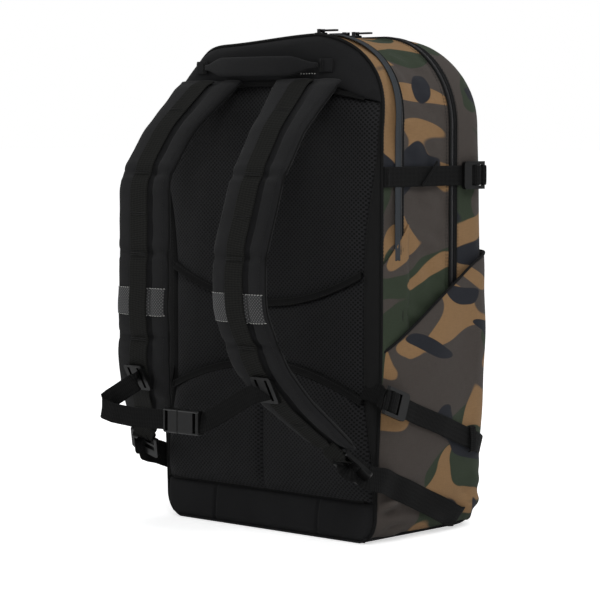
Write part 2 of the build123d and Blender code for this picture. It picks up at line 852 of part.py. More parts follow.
slider_planes = {
    "main_slider_left": Plane((7.5, main_zip_y, pack_height), x_dir=(-1, 0, 0), z_dir=(0, 0, 1)),
    "main_slider_right": Plane((20.5, main_zip_y, pack_height), x_dir=(1, 0, 0), z_dir=(0, 0, 1)),
    "laptop_slider": Plane((46, laptop_zip_y, pack_height), x_dir=(1, 0, 0), z_dir=(0, 0, 1)),
    "pocket_slider": Plane((66, zip_face_y + web, pocket_zip_z), x_dir=(1, 0, 0), z_dir=(0, 1, 0)),
}
for name, plane in slider_planes.items():
    save(zip_slider(plane), name)
    save(zip_pull(plane), name.replace("slider", "pull"))
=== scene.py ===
import math

import bpy
import numpy as np
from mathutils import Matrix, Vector


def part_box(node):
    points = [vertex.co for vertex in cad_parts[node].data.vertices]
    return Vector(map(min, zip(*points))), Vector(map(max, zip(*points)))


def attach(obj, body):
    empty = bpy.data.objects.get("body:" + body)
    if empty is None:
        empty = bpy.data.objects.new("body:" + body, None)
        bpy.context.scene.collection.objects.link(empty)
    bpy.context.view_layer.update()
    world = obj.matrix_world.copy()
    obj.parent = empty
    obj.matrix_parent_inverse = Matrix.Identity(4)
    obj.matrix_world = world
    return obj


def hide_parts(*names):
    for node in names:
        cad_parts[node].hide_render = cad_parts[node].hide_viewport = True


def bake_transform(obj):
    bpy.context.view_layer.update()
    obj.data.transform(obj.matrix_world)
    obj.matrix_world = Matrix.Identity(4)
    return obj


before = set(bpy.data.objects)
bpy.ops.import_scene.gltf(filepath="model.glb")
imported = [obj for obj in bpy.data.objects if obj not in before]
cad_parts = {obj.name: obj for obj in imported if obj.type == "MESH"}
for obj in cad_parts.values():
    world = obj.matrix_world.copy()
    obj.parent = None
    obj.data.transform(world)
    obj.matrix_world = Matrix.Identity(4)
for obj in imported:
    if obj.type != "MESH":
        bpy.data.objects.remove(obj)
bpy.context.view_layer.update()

mm = 0.001
turn = 2 * math.pi

# The depths of the harness seam and the front come from the pack's CAD nodes; its half width, height and the
# radii of its outline are given here.
body = {
    "half": 150 * mm,
    "top": 500 * mm,
    "seamY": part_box("back_foam")[0].y,
    "frontY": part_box("front_lower_panel")[1].y,
    "shoulder": 90 * mm,
    "foot": 25 * mm,
    "corner": 38 * mm,
    "bootZ": 6 * mm,
}
straight = body["half"] - body["shoulder"]
arcLength = body["shoulder"] * turn / 4
sideLength = body["top"] - body["shoulder"] - body["foot"]
cornerY = body["frontY"] - body["corner"]


# Eased step from 0 at a to 1 at b.
def smooth(a, b, t):
    k = np.clip((np.asarray(t, float) - a) / (b - a), 0, 1)
    return k * k * (3 - 2 * k)


# Bell curve: one at the middle, and small past this width.
def bell(t, middle, width):
    return np.exp(-(((np.asarray(t, float) - middle) / width) ** 2))


# Soft random folds: a sum of sine waves of about this length in several directions.
def ripples(u, v, wave, seed, count=7, lean=None):
    rng = np.random.default_rng(seed)
    total = np.zeros(np.broadcast(u, v).shape)
    for _ in range(count):
        angle = rng.uniform(0, turn) if lean is None else lean + rng.normal(0, 0.25)
        phase, stretch = rng.uniform(0, turn), rng.uniform(0.6, 1.8)
        run = u * math.cos(angle) + v * math.sin(angle)
        total = total + np.sin(run * turn / (wave * stretch) + phase)
    return total / math.sqrt(count)


# A smooth line through listed values: cubic Hermite pieces with averaged slopes.
def through(at, xs, ys):
    xs, ys, at = np.asarray(xs, float), np.asarray(ys, float), np.asarray(at, float)
    if xs[0] > xs[-1]:
        xs, ys = xs[::-1], ys[::-1]
    step = np.diff(xs)
    rise = np.diff(ys) / step
    mean = (rise[:-1] * step[1:] + rise[1:] * step[:-1]) / (step[:-1] + step[1:])
    slope = np.concatenate([rise[:1], mean, rise[-1:]])
    i = np.clip(np.searchsorted(xs, at) - 1, 0, len(xs) - 2)
    t = (at - xs[i]) / step[i]
    inside = np.clip(t, 0, 1)
    a, b = 2 * inside**3 - 3 * inside**2 + 1, inside**3 - 2 * inside**2 + inside
    c, d = -2 * inside**3 + 3 * inside**2, inside**3 - inside**2
    value = a * ys[i] + b * step[i] * slope[i] + c * ys[i + 1] + d * step[i] * slope[i + 1]
    return value + (t - inside) * step[i] * np.where(t > 1, slope[i + 1], slope[i])


def unit(v):
    return v / np.maximum(np.linalg.norm(v, axis=-1, keepdims=True), 1e-12)


# Distance run at each point of a line.
def lengths(line):
    return np.concatenate([[0], np.cumsum(np.linalg.norm(np.diff(line, axis=0), axis=1))])


# Arrays brought to one shape and stacked as the coordinates of points.
def stacked(*parts):
    return np.stack(np.broadcast_arrays(*parts), -1)


# Faces of a grid of rows by columns, which may close on itself across the columns.
def gridFaces(rows, columns, closed=False):
    r = np.arange(rows - 1)[:, None]
    c = np.arange(columns if closed else columns - 1)[None, :]
    d = (c + 1) % columns
    quads = [r * columns + c, r * columns + d, (r + 1) * columns + d, (r + 1) * columns + c]
    return np.stack([np.broadcast_to(q, (rows - 1, c.size)).ravel() for q in quads], 1)


# One object from points and faces, with its cloth coordinates in metres and its points at
# rest, and its faces turned away from the given centre.
def newPiece(name, points, faces, uv=None, centre=None):
    points = points.reshape(-1, 3)
    mesh = bpy.data.meshes.new(name)
    mesh.from_pydata(points.tolist(), [], [list(map(int, f)) for f in faces])
    mesh.polygons.foreach_set("use_smooth", np.ones(len(mesh.polygons), bool))
    if uv is not None:
        loops = np.zeros(len(mesh.loops), np.int32)
        mesh.loops.foreach_get("vertex_index", loops)
        layer = mesh.uv_layers.new(name="cloth")
        layer.data.foreach_set("uv", uv.reshape(-1, 2)[loops].astype(np.float32).ravel())
    rest = mesh.attributes.new("rest", "FLOAT_VECTOR", "POINT")
    rest.data.foreach_set("vector", points.astype(np.float32).ravel())
    if centre is not None:
        normals = np.zeros(len(mesh.polygons) * 3, np.float32)
        middles = np.zeros(len(mesh.polygons) * 3, np.float32)
        mesh.polygons.foreach_get("normal", normals)
        mesh.polygons.foreach_get("center", middles)
        away = (middles.reshape(-1, 3) - np.asarray(centre)) * normals.reshape(-1, 3)
        if away.sum() < 0:
            mesh.flip_normals()
    piece = bpy.data.objects.new(name, mesh)
    bpy.context.scene.collection.objects.link(piece)
    return piece


def sheetPiece(name, points, uv, centre):
    return newPiece(name, points, gridFaces(*points.shape[:2]), uv, centre)


# A closed tube from rings of points, its two ends closed by a fan to their middle.
def tubePiece(name, rings, uv):
    count, around = rings.shape[:2]
    faces = gridFaces(count, around, True).tolist()
    first = count * around
    for j in range(around):
        k = (j + 1) % around
        faces.append([k, j, first])
        faces.append([(count - 1) * around + j, (count - 1) * around + k, first + 1])
    points = np.concatenate([rings.reshape(-1, 3), rings[0].mean(0)[None], rings[-1].mean(0)[None]])
    every = np.concatenate([uv.reshape(-1, 2), uv[0, :1], uv[-1, :1]])
    return newPiece(name, points, faces, every)


# A closed pad: a front grid, the same grid laid flat at the back, and the rim between.
def cushion(name, front, back, uv, centre):
    rows, columns = front.shape[:2]
    faces = gridFaces(rows, columns)
    count = rows * columns
    rim = list(range(columns)) + [r * columns + columns - 1 for r in range(1, rows)]
    rim += [(rows - 1) * columns + c for c in range(columns - 2, -1, -1)]
    rim += [r * columns for r in range(rows - 2, 0, -1)]
    rim = np.array(rim)
    after = np.roll(rim, -1)
    sides = np.stack([after, rim, rim + count, after + count], 1)
    every = np.concatenate([faces, faces[:, ::-1] + count, sides])
    points = np.concatenate([front.reshape(-1, 3), back.reshape(-1, 3)])
    return newPiece(name, points, every, np.concatenate([uv.reshape(-1, 2)] * 2), centre)


# A cushion whose back is its front laid flat at this depth.
def flatBacked(name, points, depth, centre, stretch=1):
    back = points.copy()
    back[..., 1] = depth
    return cushion(name, points, back, points[..., [0, 2]] * (1, stretch), centre)


# Gives cloth its thickness, with the lining's material on the inside.
def thicken(piece, thickness, offset=-1.0, lining=0):
    wall = piece.modifiers.new("wall", "SOLIDIFY")
    wall.thickness = thickness
    wall.offset = offset
    wall.material_offset = lining
    return piece


# Materials, the body that a piece rides on, and the nodes that it stands for.
def dress(piece, bodyName, materials, nodes=()):
    for material in materials:
        piece.data.materials.append(material)
    if bodyName:
        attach(piece, bodyName)
    if nodes:
        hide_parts(*nodes)
    return piece


# Points every step along a line, which is rounded at its corners to this radius.
def rounded(points, radius, step=2 * mm):
    points = np.asarray(points, float)
    line = [points[0]]
    for before, corner, after in zip(points, points[1:], points[2:]):
        a, b = unit(before - corner), unit(after - corner)
        half = math.acos(np.clip(np.dot(a, b), -1, 1)) / 2
        shorter = min(np.linalg.norm(before - corner), np.linalg.norm(after - corner))
        reach = min(radius / math.tan(half), 0.49 * shorter)
        size = reach * math.tan(half)
        centre = corner + unit(a + b) * size / math.sin(half)
        start, end = corner + a * reach - centre, corner + b * reach - centre
        sweep = math.pi - 2 * half
        for k in np.linspace(0, 1, max(3, int(sweep * size / step) + 2)):
            if sweep < 1e-4:
                line.append(centre + start)
                break
            arm = start * math.sin((1 - k) * sweep) + end * math.sin(k * sweep)
            line.append(centre + arm / math.sin(sweep))
    line.append(points[-1])
    return evenly(np.array(line), step)


# The same line with its points this far apart.
def evenly(line, step):
    keep = np.concatenate([[True], np.linalg.norm(np.diff(line, axis=0), axis=1) > 1e-7])
    line = line[keep]
    run = lengths(line)
    at = np.linspace(0, run[-1], max(2, int(round(run[-1] / step)) + 1))
    return np.stack([np.interp(at, run, line[:, k]) for k in range(line.shape[1])], 1)


# Frames along a line: its direction, its width direction and its face direction.
def alongLine(line, across):
    run = unit(np.gradient(line, axis=0))
    across = np.broadcast_to(np.asarray(across, float), line.shape)
    across = unit(across - run * (across * run).sum(-1, keepdims=True))
    return run, across, np.cross(across, run)


# A flat strip with rounded edges along a line: half its thickness times a steep curve of the
# place across, over a low crown.
def ribbon(name, line, across, width, thickness, crown):
    side, face = alongLine(line, across)[1:]
    v = np.sin(np.linspace(-1, 1, 13) * turn / 4)
    edge = np.sqrt(np.clip(1 - np.abs(v) ** 6, 0, 1))
    half = thickness / 2 * (0.25 + 0.75 * edge)
    crowned = crown * (1 - v**2)
    acrossAt = np.concatenate([v, v[::-1]]) * width / 2
    liftAt = np.concatenate([crowned + half, (crowned - half)[::-1]])
    rings = line[:, None] + side[:, None] * acrossAt[:, None] + face[:, None] * liftAt[:, None]
    return tubePiece(name, rings, stacked(acrossAt[None], lengths(line)[:, None]))


# Rows of sewing thread: small spindles laid along a line, standing a little proud of it.
def stitches(name, line, across, pitch=3.4 * mm, length=2.4 * mm, radius=0.32 * mm):
    places = evenly(line, pitch)
    run, side, face = alongLine(places, across)
    a = np.array([-1, -0.6, 0.6, 1]) * length / 2
    r = np.array([0.3, 1, 1, 0.3]) * radius
    angle = np.arange(6) * turn / 6
    local = np.stack([
        np.repeat(a, 6),
        np.outer(r, np.cos(angle)).ravel(),
        np.outer(r, np.sin(angle)).ravel(),
    ], 1)
    points = places[:, None] + run[:, None] * local[None, :, :1] + side[:, None] * local[None, :, 1:2]
    points = points + face[:, None] * local[None, :, 2:]
    faces = np.arange(len(places))[:, None, None] * 24 + gridFaces(4, 6, True)[None]
    return newPiece(name, points, faces.reshape(-1, 4), np.zeros((len(places), 24, 2)))


# Distance along the outline from the middle of the top to this height on a side.
def alongAt(z):
    z = np.asarray(z, float)
    spring = body["top"] - body["shoulder"]
    arch = straight + body["shoulder"] * np.arccos(np.clip((z - spring) / body["shoulder"], -1, 1))
    side = straight + arcLength + spring - z
    foot = straight + arcLength + sideLength + body["foot"] * np.arcsin(np.clip(1 - z / body["foot"], 0, 1))
    return np.where(z > spring, arch, np.where(z > body["foot"], side, foot))


# A point of the skin, from its distance along the outline and its depth y. The outline is
# a flat top, quarter circles, straight sides and small quarter circles at the foot. Past
# cornerY it draws in on a quarter circle, and lift moves it out along the normal.
def skin(along, y, lift=0.0):
    along, y, lift = np.broadcast_arrays(*[np.asarray(part, float) for part in (along, y, lift)])
    d = np.abs(along)
    lean = np.clip((y - cornerY) / body["corner"], 0, 1)
    face = np.sqrt(1 - lean**2)
    drawn = body["corner"] * (1 - face)
    bend = np.clip((d - straight) / body["shoulder"], 0, turn / 4)
    foot = np.clip((d - straight - arcLength - sideLength) / body["foot"], 0, turn / 4)
    down = np.clip(d - straight - arcLength, 0, sideLength)
    radius = body["shoulder"] - drawn
    x = np.minimum(d, straight) + radius * np.sin(bend) - body["foot"] * (1 - np.cos(foot))
    z = body["top"] - body["shoulder"] + radius * np.cos(bend) - down - body["foot"] * np.sin(foot)
    x = x + np.sin(bend) * np.cos(foot) * lift * face
    z = z + (np.cos(bend) - np.sin(foot)) * lift * face
    return settle(np.stack([np.sign(along) * x, y + lift * lean, z], -1))


# The filled pack's own shape: narrower at the base, the cover leaning back towards the
# top, and the top falling a little towards the wearer's left, the harness and the front.
filled = {
    "narrow": 0.05, "lean": 0.085, "coverY": 30 * mm, "leftFall": 9 * mm, "frontFall": 7 * mm,
    "back": 12 * mm, "inward": 4 * mm, "aside": 4 * mm,
}


def settle(points):
    x, y, z = points[..., 0], points[..., 1], points[..., 2]
    wide = 1 - filled["narrow"] * (1 - smooth(0.0, 0.21, z))
    ahead = np.maximum(y - filled["coverY"], 0)
    front = y - filled["lean"] * ahead * smooth(0.26, 0.42, z)
    rear = smooth(20 * mm, 86 * mm, -y)
    upper = smooth(0.40, 0.49, z)
    leftward = np.maximum(rear * smooth(-75 * mm, 80 * mm, -x), smooth(0, 85 * mm, -x))
    slump = filled["leftFall"] * leftward + filled["frontFall"] * smooth(36 * mm, 100 * mm, y)
    turned = recede(x, z) * rear
    across = x * wide - np.sign(x) * filled["inward"] * turned + filled["aside"] * upper * rear
    return np.stack([across, front + filled["back"] * turned, z - slump * upper], -1)


# How far the upper corners of the back curve away from the wearer, from 0 to 1.
def recede(x, z):
    return smooth(70 * mm, 128 * mm, np.abs(x)) * smooth(0.400, 0.465, z)


# Rows for these depths y and columns for these distances along the outline.
def panelGrid(along, y, lift):
    points = skin(along[None, :], y[:, None], lift)
    return points, stacked(along[None, :], y[:, None])


packMiddle = (0, 5 * mm, 250 * mm)
bottom = float(alongAt(body["bootZ"]))
around = np.linspace(-bottom, bottom, 421)
bothSides = ((-1, "Left"), (1, "Right"))


# Adds a node with these settings and inputs, where an input may be another node's output.
def addNode(tree, kind, settings=None, **inputs):
    node = tree.nodes.new(kind)
    for key, value in (settings or {}).items():
        setattr(node, key, value)
    for key, value in inputs.items():
        socket = node.inputs[int(key[1:])] if key[0] == "i" and key[1:].isdigit() else node.inputs[key]
        if isinstance(value, bpy.types.NodeSocket):
            tree.links.new(value, socket)
        else:
            socket.default_value = value
    return node


def newMaterial(name):
    material = bpy.data.materials.new(name)
    material.use_nodes = True
    tree = material.node_tree
    return material, tree, tree.nodes["Principled BSDF"]


# A tone of 0 to 255 as the linear value that shaders read.
def shade(value):
    return tuple(((c / 255 + 0.055) / 1.055) ** 2.4 if c > 10 else c / 255 / 12.92 for c in value) + (1.0,)


def toneNode(tree, tone):
    colour = addNode(tree, "ShaderNodeRGB").outputs[0]
    colour.default_value = shade(tone)
    return colour


def mathNode(tree, operation, a, b=0.0):
    return addNode(tree, "ShaderNodeMath", {"operation": operation}, i0=a, i1=b).outputs[0]


def waveNode(tree, value, pitch):
    return mathNode(tree, "SINE", mathNode(tree, "MULTIPLY", value, turn / pitch))


def noiseNode(tree, place, scale, detail, **more):
    return addNode(tree, "ShaderNodeTexNoise", Vector=place, Scale=scale, Detail=detail, **more).outputs[0]


# A value from low to high spread over toLow to toHigh.
def rangeNode(tree, value, low, high, toLow=0.0, toHigh=1.0, eased=False):
    settings = {"interpolation_type": "SMOOTHSTEP"} if eased else None
    spread = addNode(tree, "ShaderNodeMapRange", settings, Value=value)
    for socket, limit in zip(("From Min", "From Max", "To Min", "To Max"), (low, high, toLow, toHigh)):
        spread.inputs[socket].default_value = limit
    return spread.outputs[0]


def mixNode(tree, factor):
    return addNode(tree, "ShaderNodeMix", {"data_type": "RGBA"}, Factor=factor)


def setShader(shader, rough, specular=None, sheen=None):
    given = {"Roughness": rough, "Specular IOR Level": specular, "Sheen Weight": sheen}
    for socket, value in given.items():
        if value is not None:
            shader.inputs[socket].default_value = value


def restPoint(tree):
    return addNode(tree, "ShaderNodeAttribute", {"attribute_name": "rest"}).outputs["Vector"]


def clothPoint(tree):
    return addNode(tree, "ShaderNodeUVMap", {"uv_map": "cloth"}).outputs["UV"]


# Plain weave: the product of two sine waves across and along the cloth, broken up by a
# noise that is long in one direction, as slubby yarn is.
def weave(tree, uv, pitch, slub):
    parts = addNode(tree, "ShaderNodeSeparateXYZ", Vector=uv)
    threads = mathNode(tree, "MULTIPLY", *[waveNode(tree, parts.outputs[axis], pitch) for axis in (0, 1)])
    fine, long = 1 / (1.2 * mm), 1 / (9 * mm)
    yarns = []
    for scale in ((fine, long, 1.0), (long, fine, 1.0)):
        stretched = addNode(tree, "ShaderNodeMapping", Vector=uv, Scale=scale)
        yarns.append(noiseNode(tree, stretched.outputs[0], 1.0, 2.0))
    both = mathNode(tree, "MULTIPLY", mathNode(tree, "ADD", *yarns), slub)
    return mathNode(tree, "ADD", mathNode(tree, "MULTIPLY", threads, 0.3), both)


def bumped(tree, shader, height, depth, strength=1.0):
    bump = addNode(tree, "ShaderNodeBump", Height=height, Strength=strength, Distance=depth)
    tree.links.new(bump.outputs[0], shader.inputs["Normal"])


# Brightness of a colour changed by a value about one.
def tinted(tree, colour, value, low, high):
    factor = rangeNode(tree, value, 0.0, 1.0, low, high)
    scaled = addNode(tree, "ShaderNodeVectorMath", {"operation": "SCALE"}, Vector=colour, Scale=factor)
    return scaled.outputs[0]


# Each layer: its tone, where it is cut from the noise, the level of the cut, size and bend.
camo = {
    "ground": (70, 64, 60),
    "layers": [
        ((48, 57, 43), 11.3, 0.55, 0.95, 1.2),
        ((137, 107, 74), 37.9, 0.57, 0.85, 1.6),
        ((33, 35, 41), 71.2, 0.635, 1.15, 1.2),
    ],
    "blob": 150 * mm, "edge": 0.004, "stretch": (0.85, 0.85, 1.45),
}


# Woodland cloth: three layers of slow, bent noise cut at a level, one colour over another.
def camoMaterial(name, shift):
    material, tree, shader = newMaterial(name)
    steps = [("ADD", shift), ("MULTIPLY", (1 / camo["blob"],) * 3), ("MULTIPLY", camo["stretch"])]
    place = restPoint(tree)
    for operation, value in steps:
        place = addNode(tree, "ShaderNodeVectorMath", {"operation": operation}, i0=place, i1=value).outputs[0]
    colour = toneNode(tree, camo["ground"])
    for tone, offset, level, size, bent in camo["layers"]:
        away = (offset, offset / 2, -offset)
        moved = addNode(tree, "ShaderNodeVectorMath", {"operation": "ADD"}, i0=place, i1=away).outputs[0]
        noise = noiseNode(tree, moved, size, 1.4, Roughness=0.45, Distortion=bent)
        mix = mixNode(tree, rangeNode(tree, noise, level - camo["edge"], level + camo["edge"]))
        tree.links.new(colour, mix.inputs[6])
        mix.inputs[7].default_value = shade(tone)
        colour = mix.outputs[2]
    height = weave(tree, clothPoint(tree), 0.9 * mm, 0.6)
    # The weave's height sets the tone: darker between the threads, which is painted shade, and varied by the
    # slub noise, the yarn's own random tone.
    tree.links.new(tinted(tree, colour, height, 0.80, 1.18), shader.inputs["Base Color"])
    setShader(shader, 0.86, 0.2, 0.03)
    bumped(tree, shader, height, 0.25 * mm, 0.55)
    return material


# Plain dark cloth, a weave over a slow unevenness of tone.
def clothMaterial(name, tone, pitch=0.8 * mm, rough=0.88, depth=0.2 * mm, sheen=0.02):
    material, tree, shader = newMaterial(name)
    height = weave(tree, clothPoint(tree), pitch, 0.55)
    slow = noiseNode(tree, restPoint(tree), 22.0, 3.0)
    colour = tinted(tree, toneNode(tree, tone), slow, 0.82, 1.2)
    # The weave's height sets the tone: darker between the threads, which is painted shade, and varied by the
    # slub noise, the yarn's own random tone.
    tree.links.new(tinted(tree, colour, height, 0.72, 1.3), shader.inputs["Base Color"])
    setShader(shader, rough, 0.2, sheen)
    shader.inputs["Sheen Roughness"].default_value = 0.5
    bumped(tree, shader, height, depth, 0.6)
    return material


# Spacer mesh: rows of small eyes on a diamond grid. Each is a pit in the knit, painted black as the shade in
# it, with the knit between brightened.
def meshMaterial(name, tone, pitch):
    material, tree, shader = newMaterial(name)
    parts = addNode(tree, "ShaderNodeSeparateXYZ", Vector=clothPoint(tree))
    rows = [waveNode(tree, parts.outputs[axis], pitch) for axis in (0, 1)]
    pitDepthAndShade = rangeNode(tree, mathNode(tree, "MULTIPLY", *rows), -0.06, 0.34, eased=True)
    fine = noiseNode(tree, clothPoint(tree), 1800.0, 2.0)
    colour = tinted(tree, toneNode(tree, tone), fine, 0.6, 1.5)
    # Colour: the knit's random fine tone, lightened between the pits and painted black in them, which is
    # painted shade.
    tree.links.new(tinted(tree, colour, pitDepthAndShade, 2.3, 0.0), shader.inputs["Base Color"])
    setShader(shader, 0.8, 0.25)
    height = mathNode(tree, "SUBTRACT", mathNode(tree, "MULTIPLY", fine, 0.25), pitDepthAndShade)
    bumped(tree, shader, height, 0.9 * mm, 0.8)
    return material


# Woven webbing: fine ribs across the strip, crossed by a few lengthwise cords.
def webbingMaterial(name, tone, rib=1.35 * mm, cords=3.2 * mm, rough=0.72):
    material, tree, shader = newMaterial(name)
    uv = clothPoint(tree)
    parts = addNode(tree, "ShaderNodeSeparateXYZ", Vector=uv)
    ribs = mathNode(tree, "MULTIPLY", waveNode(tree, parts.outputs[1], rib), 0.5)
    lengthwise = mathNode(tree, "MULTIPLY", waveNode(tree, parts.outputs[0], cords), 0.22)
    fine = noiseNode(tree, uv, 1500.0, 2.0)
    height = mathNode(tree, "ADD", mathNode(tree, "ADD", ribs, lengthwise), fine)
    # Tone follows the height: darker in the grooves between ribs and cords, which is painted shade, over a
    # random fine tone from the noise.
    tree.links.new(tinted(tree, toneNode(tree, tone), height, 0.45, 1.35), shader.inputs["Base Color"])
    setShader(shader, rough, 0.12)
    bumped(tree, shader, height, 0.28 * mm, 0.8)
    return material


# Moulded or painted hardware: a fine grain over a satin surface, read in object space.
def hardMaterial(name, tone, rough, metal=0.0, grain=0.05 * mm):
    material, tree, shader = newMaterial(name)
    place = addNode(tree, "ShaderNodeTexCoord").outputs["Object"]
    fine = noiseNode(tree, place, 2200.0, 3.0)
    slow = noiseNode(tree, place, 130.0, 3.0)
    tree.links.new(tinted(tree, toneNode(tree, tone), slow, 0.75, 1.3), shader.inputs["Base Color"])
    setShader(shader, rough, 0.35)
    tree.links.new(rangeNode(tree, slow, 0.0, 1.0, rough - 0.1, rough + 0.12), shader.inputs["Roughness"])
    shader.inputs["Metallic"].default_value = metal
    shader.inputs["Coat Roughness"].default_value = 0.25
    bumped(tree, shader, fine, grain, 0.5)
    return material


# Perforated reflective tape: pale dots in rows over a dark ground.
def dottedMaterial(name):
    material, tree, shader = newMaterial(name)
    parts = addNode(tree, "ShaderNodeSeparateXYZ", Vector=clothPoint(tree))
    rows = [waveNode(tree, parts.outputs[axis], 3.1 * mm) for axis in (0, 1)]
    dots = rangeNode(tree, mathNode(tree, "MULTIPLY", *rows), 0.25, 0.45)
    mix = mixNode(tree, dots)
    mix.inputs[6].default_value = shade((27, 27, 28))
    mix.inputs[7].default_value = shade((92, 92, 92))
    tree.links.new(mix.outputs[2], shader.inputs["Base Color"])
    setShader(shader, 0.5)
    bumped(tree, shader, dots, 0.2 * mm, 0.6)
    return material


skins = {
    "camoRear": camoMaterial("camo cloth of the back gusset", (0.31, 0.12, 0.055)),
    "camoSide": camoMaterial("camo cloth of the sides", (0.0, 0.0, 0.0)),
    "camoFront": camoMaterial("camo cloth of the front", (0.47, 0.31, 0.22)),
    "camoPocket": camoMaterial("camo cloth of the pockets", (0.83, 0.64, 0.41)),
    "black": clothMaterial("black pack cloth", (25, 25, 26)),
    "strap": clothMaterial("black strap cloth", (25, 25, 26), pitch=0.6 * mm, depth=0.12 * mm, sheen=0.05),
    "border": clothMaterial("black border cloth", (23, 23, 23)),
    "lining": clothMaterial("grey lining", (58, 59, 60), pitch=0.6 * mm, depth=0.1 * mm),
    "binding": webbingMaterial("black binding tape", (22, 22, 22), rib=0.8 * mm, cords=2 * mm, rough=0.7),
    # The zip flap's pale grey tone is a painted sheen.
    "grey": webbingMaterial("zip flap with painted sheen", (66, 70, 74), rib=0.7 * mm, cords=2 * mm, rough=0.75),
    "mesh": meshMaterial("black spacer mesh", (19, 19, 20), 5.0 * mm),
    "daisy": webbingMaterial("olive black webbing", (26, 26, 24), rib=2.3 * mm, cords=4.2 * mm),
    "webbing": webbingMaterial("black webbing", (17, 17, 17), rib=2.0 * mm, cords=4.2 * mm),
    "tape": webbingMaterial("zip tape", (20, 20, 21), rib=0.7 * mm, cords=1.6 * mm, rough=0.7),
    "coil": hardMaterial("zip coil", (26, 26, 28), 0.42),
    "plastic": hardMaterial("black acetal", (11, 11, 11), 0.34, grain=0.012 * mm),
    "metal": hardMaterial("black zip metal", (40, 40, 42), 0.34, metal=0.8),
    "sheet": hardMaterial("stiff back sheet", (90, 90, 92), 0.5),
    "dots": dottedMaterial("reflective tape"),
    "thread": hardMaterial("black thread", (24, 24, 23), 0.7),
    "pale": hardMaterial("pale thread", (190, 190, 186), 0.7),
    "foam": clothMaterial("grey foam", (70, 70, 72), pitch=2 * mm),
}
print("materials ready")

# Gusset cloth: skin between two depths, sagging in slow and quick ripples where it isn't
# sewn. The laptop zip lies between its rear and side strips.
gusset = {"thick": 1.3 * mm, "sag": 1.7 * mm, "sewn": 6 * mm, "zipY": -57 * mm, "zipEndZ": 285 * mm}


def gussetPiece(name, low, high, rows, seed, material, slotNodes, ends=None):
    along = np.linspace(-bottom, bottom, 521) if ends is None else np.linspace(*ends, 61)
    y = np.linspace(low, high, rows)
    u, v = np.broadcast_arrays(along[None, :], y[:, None])
    sewn = smooth(0, gusset["sewn"], v - low) * smooth(0, gusset["sewn"], high - v)
    waves = 0.7 * ripples(u, v, 70 * mm, seed) + 0.35 * ripples(u, v, 26 * mm, seed + 1)
    points, uv = panelGrid(along, y, -gusset["sag"] * sewn * (0.8 + waves))
    piece = thicken(sheetPiece(name, points, uv, packMiddle), gusset["thick"], lining=1)
    return dress(piece, "pack", [material, skins["lining"]], slotNodes)


gussetPiece("rearGusset", -85 * mm, -59.5 * mm, 14, 3, skins["camoRear"], ["laptop_gusset"])
gussetPiece("sideGusset", -54.5 * mm, 20 * mm, 34, 7, skins["camoSide"], ["main_gusset"])
zipEnd = float(alongAt(gusset["zipEndZ"]))
for side, label in bothSides:
    ends = (side * (zipEnd - 2 * mm), side * bottom)
    gussetPiece("lowerGusset" + label, -60 * mm, -54 * mm, 6, 5, skins["camoSide"], (), ends)


# A zip laid on the skin: two woven tapes with a low channel between, and a coil in it,
# which is a half round ridge cut by a cosine along its length into single turns.
zipper = {"tape": 0.8 * mm, "pitch": 1.3 * mm, "coilHalf": 1.9 * mm, "coilHigh": 1.15 * mm, "cut": 0.35 * mm}


def zipOnSkin(name, y, end, half, nodes):
    v = np.linspace(-1, 1, 15)
    lift = 0.5 * mm + 0.9 * mm * bell(np.abs(v), 0.78, 0.16) - 0.5 * mm * bell(v, 0, 0.3)
    points, uv = panelGrid(np.linspace(-end, end, 480), y + v * half, lift[:, None])
    tape = thicken(sheetPiece(name + "Tape", points, uv, packMiddle), zipper["tape"])
    dress(tape, "pack", [skins["tape"]], nodes)
    fine = np.linspace(-end, end, int(2 * end / zipper["pitch"]) * 4 + 1)
    w = np.linspace(-1, 1, 9)[:, None]
    turned = np.cos(fine[None, :] * turn / zipper["pitch"] + np.abs(w) * 1.5)
    ridge = np.sqrt(1 - w**2) * (zipper["coilHigh"] + zipper["cut"] * turned)
    points, uv = panelGrid(fine, y + w[:, 0] * zipper["coilHalf"], 0.3 * mm + ridge)
    coil = sheetPiece(name + "Coil", points, uv, packMiddle)
    dress(coil, "pack", [skins["coil"]])


zipOnSkin("laptopZip", gusset["zipY"], zipEnd, 3.6 * mm, ["laptop_zip"])
print("gussets and laptop zip ready")


# The front: rows of skin from the main zip round the front corner, then rings that shrink
# towards the middle of the base, so the whole front is one cloth with a rounded edge.
frontCloth = {"thick": 1.5 * mm, "rings": 70, "puff": 5 * mm, "seamZ": (281 * mm, 299 * mm)}


# Depths from a start, round the front corner on a quarter circle.
def cornerRows(start, before, past):
    bend = np.sin(np.linspace(0, turn / 4, past)[1:])
    return np.concatenate([np.linspace(start, cornerY, before), cornerY + body["corner"] * bend])


